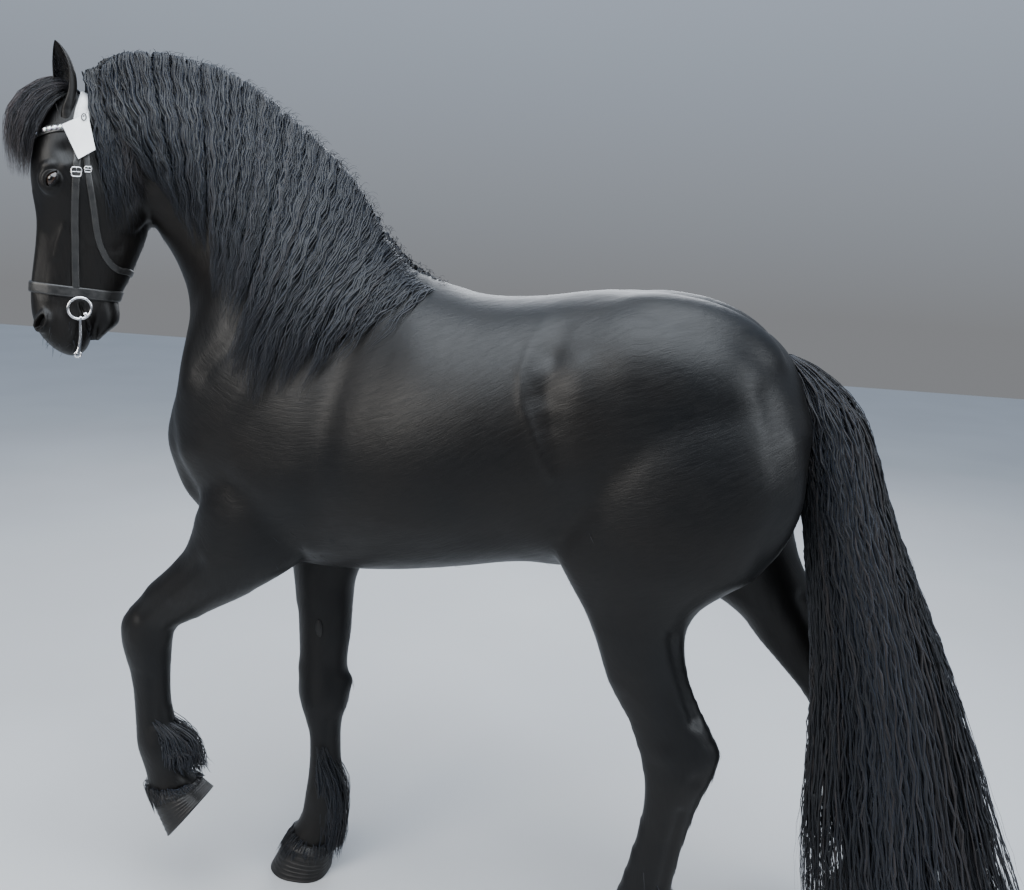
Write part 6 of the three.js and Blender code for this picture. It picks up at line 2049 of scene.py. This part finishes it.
def make_tag(tack):
    side = tack.at(60, -100)[1] + 14
    n = 25
    u, v = np.meshgrid(np.linspace(0, 1, n), np.linspace(0, 1, n), indexing="ij")
    shares = ((1 - u) * (1 - v), u * (1 - v), u * v, (1 - u) * v)
    flat = sum(corner * share[..., None] for corner, share in zip(TAG_CORNERS, shares))
    curl = side + 1.5 + 5 * np.clip(v - 0.45, 0, 1) ** 2 * 3 * (1 - u) + 2.2 * np.sin(u * 2.6)
    faces_at = [np.stack([flat[..., 0], out, flat[..., 1]], axis=-1).reshape(-1, 3)
                for out in (curl + TAG_THICK, curl)]
    faces, size = [], n * n
    for i in range(n - 1):
        for j in range(n - 1):
            a = i * n + j
            faces.append([a, a + n, a + n + 1, a + 1])
            faces.append([size + a, size + a + 1, size + a + n + 1, size + a + n])
    rim = [i * n for i in range(n)] + [(n - 1) * n + j for j in range(1, n)]
    rim += [i * n + n - 1 for i in range(n - 2, -1, -1)] + list(range(n - 2, 0, -1))
    for a, b in zip(rim, rim[1:] + rim[:1]):
        faces.append([b, a, size + a, size + b])
    mesh = mesh_of("card", from_poll(np.vstack(faces_at)), faces)
    add_piece("number_tag", mesh, tack.looks["card"], ("number_tag",), smooth=False)
    # the pin at its upper rear corner, and the cord that holds it to the browband
    ring = side_ring(np.array([44.0, side + 5 + 0.6, -10.0]), 5, 8, 24)
    cord = [[44, side + 4, -6], [47, side + 1, -14], [52, side - 6, -24], [56, side - 12, -30]]
    parts = [tube(ring, 1.2, 8, True, (0, 1, 0)), tube(catmull(cord, 6), 1.6, 8)]
    add_piece("tag_pin", poll_mesh("pin", parts), tack.looks["black"])


# Chestnuts: the small horny plates on the inner side of each leg. Each lies where a line from
# its place between the legs, outwards, meets the skin.
CHESTNUTS = [(700, 40, 800), (448, -30, 640), (-500, 40, 560), (-890, -30, 560)]


def make_chestnuts(surface, material):
    parts = []
    for x, y, z in CHESTNUTS:
        side = 1 if y > 0 else -1
        hit = surface.ray_cast(Vector((x, y, z)), Vector((0, side, 0)))[0]
        if hit is None:
            continue
        ball, faces = ellipsoid(np.array(hit), np.array([10.0, 4.5, 24.0]), 0.12, 24)
        ball[:, 1] -= side * 0.9 * np.sin(ball[:, 0] * 0.9) * np.sin(ball[:, 2] * 0.5)
        parts.append((ball, faces))
    add_piece("chestnuts", mesh_of("chestnuts", *merged(parts)), material)


# Camera, light and floor
CAMERA_AT = (-0.5154, 2.2884, 1.648)  # metres in the horse's own frame
CAMERA_YAW, CAMERA_PITCH, CAMERA_ROLL = np.radians([11.9, 1.03, 2.86])
FOCAL_SHARE = 955.7 / 1024  # focal length over the picture's width
CAMERA_SHIFT = -0.17  # share of the picture's width
SENSOR = 36


def make_camera():
    forward = np.array([
        np.sin(CAMERA_YAW) * np.cos(CAMERA_PITCH),
        -np.cos(CAMERA_YAW) * np.cos(CAMERA_PITCH),
        -np.sin(CAMERA_PITCH),
    ])
    right = unit(np.cross(forward, (0, 0, 1)))
    up = np.cross(right, forward)
    c, s = np.cos(CAMERA_ROLL), np.sin(CAMERA_ROLL)
    right, up = c * right + s * up, c * up - s * right
    data = bpy.data.cameras.new("camera")
    data.sensor_width = SENSOR
    data.lens = SENSOR * FOCAL_SHARE
    data.shift_y = CAMERA_SHIFT
    camera = new_object("camera", data)
    matrix = Matrix.Identity(4)
    for row in range(3):
        matrix[row][0], matrix[row][1], matrix[row][2] = right[row], up[row], -forward[row]
        matrix[row][3] = CAMERA_AT[row] + SHIFT[row] / 1000
    camera.matrix_world = matrix
    bpy.context.scene.camera = camera


# Large soft lamps: place and aim in metres, size, power and colour
LAMPS = (
    ("overhead", (-0.2, 1.2, 4.6), (0, 0, 1.2), 4.2, 540, (0.88, 0.94, 1.0)),
    ("key", (3.0, 4.2, 3.2), (0.2, 0, 1.1), 2.6, 230, (1.0, 0.96, 0.9)),
    ("rear", (-4.2, 1.4, 2.8), (-0.4, 0, 1.1), 2.2, 140, (0.9, 0.95, 1.0)),
    ("far side", (0.4, -4.4, 3.4), (0, 0, 1.1), 3.0, 140, (0.9, 0.94, 1.0)),
)
FLOOR_HALF = 12.0


def make_lights():
    world = bpy.data.worlds.new("studio")
    bpy.context.scene.world = world
    world.use_nodes = True
    tree = world.node_tree
    back = tree.nodes["Background"]
    way = tree.nodes.new("ShaderNodeTexCoord").outputs["Generated"]
    height = tree.nodes.new("ShaderNodeSeparateXYZ")
    tree.links.new(way, height.inputs[0])
    ramp = tree.nodes.new("ShaderNodeMapRange")
    ramp.inputs["From Min"].default_value = -0.1
    ramp.inputs["From Max"].default_value = 0.9
    tree.links.new(height.outputs["Z"], ramp.inputs["Value"])
    sky = tree.nodes.new("ShaderNodeValToRGB")
    tree.links.new(ramp.outputs["Result"], sky.inputs["Fac"])
    stops = sky.color_ramp.elements
    for stop, at, colour in zip(stops, (0.05, 1.0), ((0.2, 0.205, 0.215, 1), (0.62, 0.76, 0.97, 1))):
        stop.position, stop.color = at, colour
    tree.links.new(sky.outputs["Color"], back.inputs[0])
    back.inputs[1].default_value = 1.1
    for name, at, aim, size, power, colour in LAMPS:
        light = bpy.data.lights.new(name, "AREA")
        light.energy, light.size, light.color = power, size, colour
        lamp = new_object(name, light)
        lamp.location = at
        lamp.rotation_euler = (Vector(aim) - Vector(at)).to_track_quat("-Z", "Y").to_euler()


def make_floor():
    n = FLOOR_HALF
    corners = [(-n, -n, 0), (n, -n, 0), (n, n, 0), (-n, n, 0)]
    floor = new_object("floor", mesh_of("floor", corners, [(0, 1, 2, 3)]))
    floor.data.materials.append(floor_look())


# The skin first, since hair, eyes and tack lie on it, and its own piece last
skin, own_vertices = add_ears(skin_mesh())
map_skin(skin, own_vertices)
skin_map = SkinMap(skin)
hair = hair_look("black hair", (0.0013, 0.0015, 0.002), (0.004, 0.004, 0.0046),
                 (0.0105, 0.0083, 0.0077))
brow_hair = hair_look("brow hair", (0.005, 0.0045, 0.0047), (0.014, 0.0115, 0.0115),
                      (0.032, 0.025, 0.024))
looks = {
    "black": leather_look("black leather", (0.006, 0.006, 0.006), (0.02, 0.019, 0.018), 0.34,
                          (0.03, 0.03, 0.03)),
    # painted shade: the headpiece's white leather is darkened to light grey, as if it lay in shadow
    "white": leather_look("white leather", (0.44, 0.45, 0.46), (0.62, 0.62, 0.62), 0.42,
                          (0.4, 0.4, 0.4)),
    "steel": steel_look(),
    "card": card_look(),
    "crystal": crystal_look(),
}
flank = Flank()
make_mane_left(flank, hair, skin_map)
make_mane_front(flank, hair, skin_map)
make_mane_right(flank, hair, skin_map)
make_mane_frizz(hair, skin_map)
make_forelock(brow_hair, skin_map)
make_tail(hair, skin_map)
make_feathers(hair, skin_map)
make_tufts(skin, hair, skin_map)
make_ear_hair(hair, skin_map)
make_hoof_fringe(hair, skin_map)
make_whiskers(hair, skin_map)
make_eyes(eye_look())
horn = hoof_look()
make_hooves(horn)
make_chestnuts(skin_map.surface, horn)
tack = Tack(skin_map.surface, looks)
make_straps(tack)
make_buckles(tack)
make_stones(tack)
make_bits(tack)
make_tag(tack)
add_piece("skin", skin, coat_look(),
          ("torso", "neck", "head", "foreleg_left", "foreleg_right", "hindleg_left", "hindleg_right",
           "ear_left", "ear_right"))
make_camera()
make_lights()
make_floor()
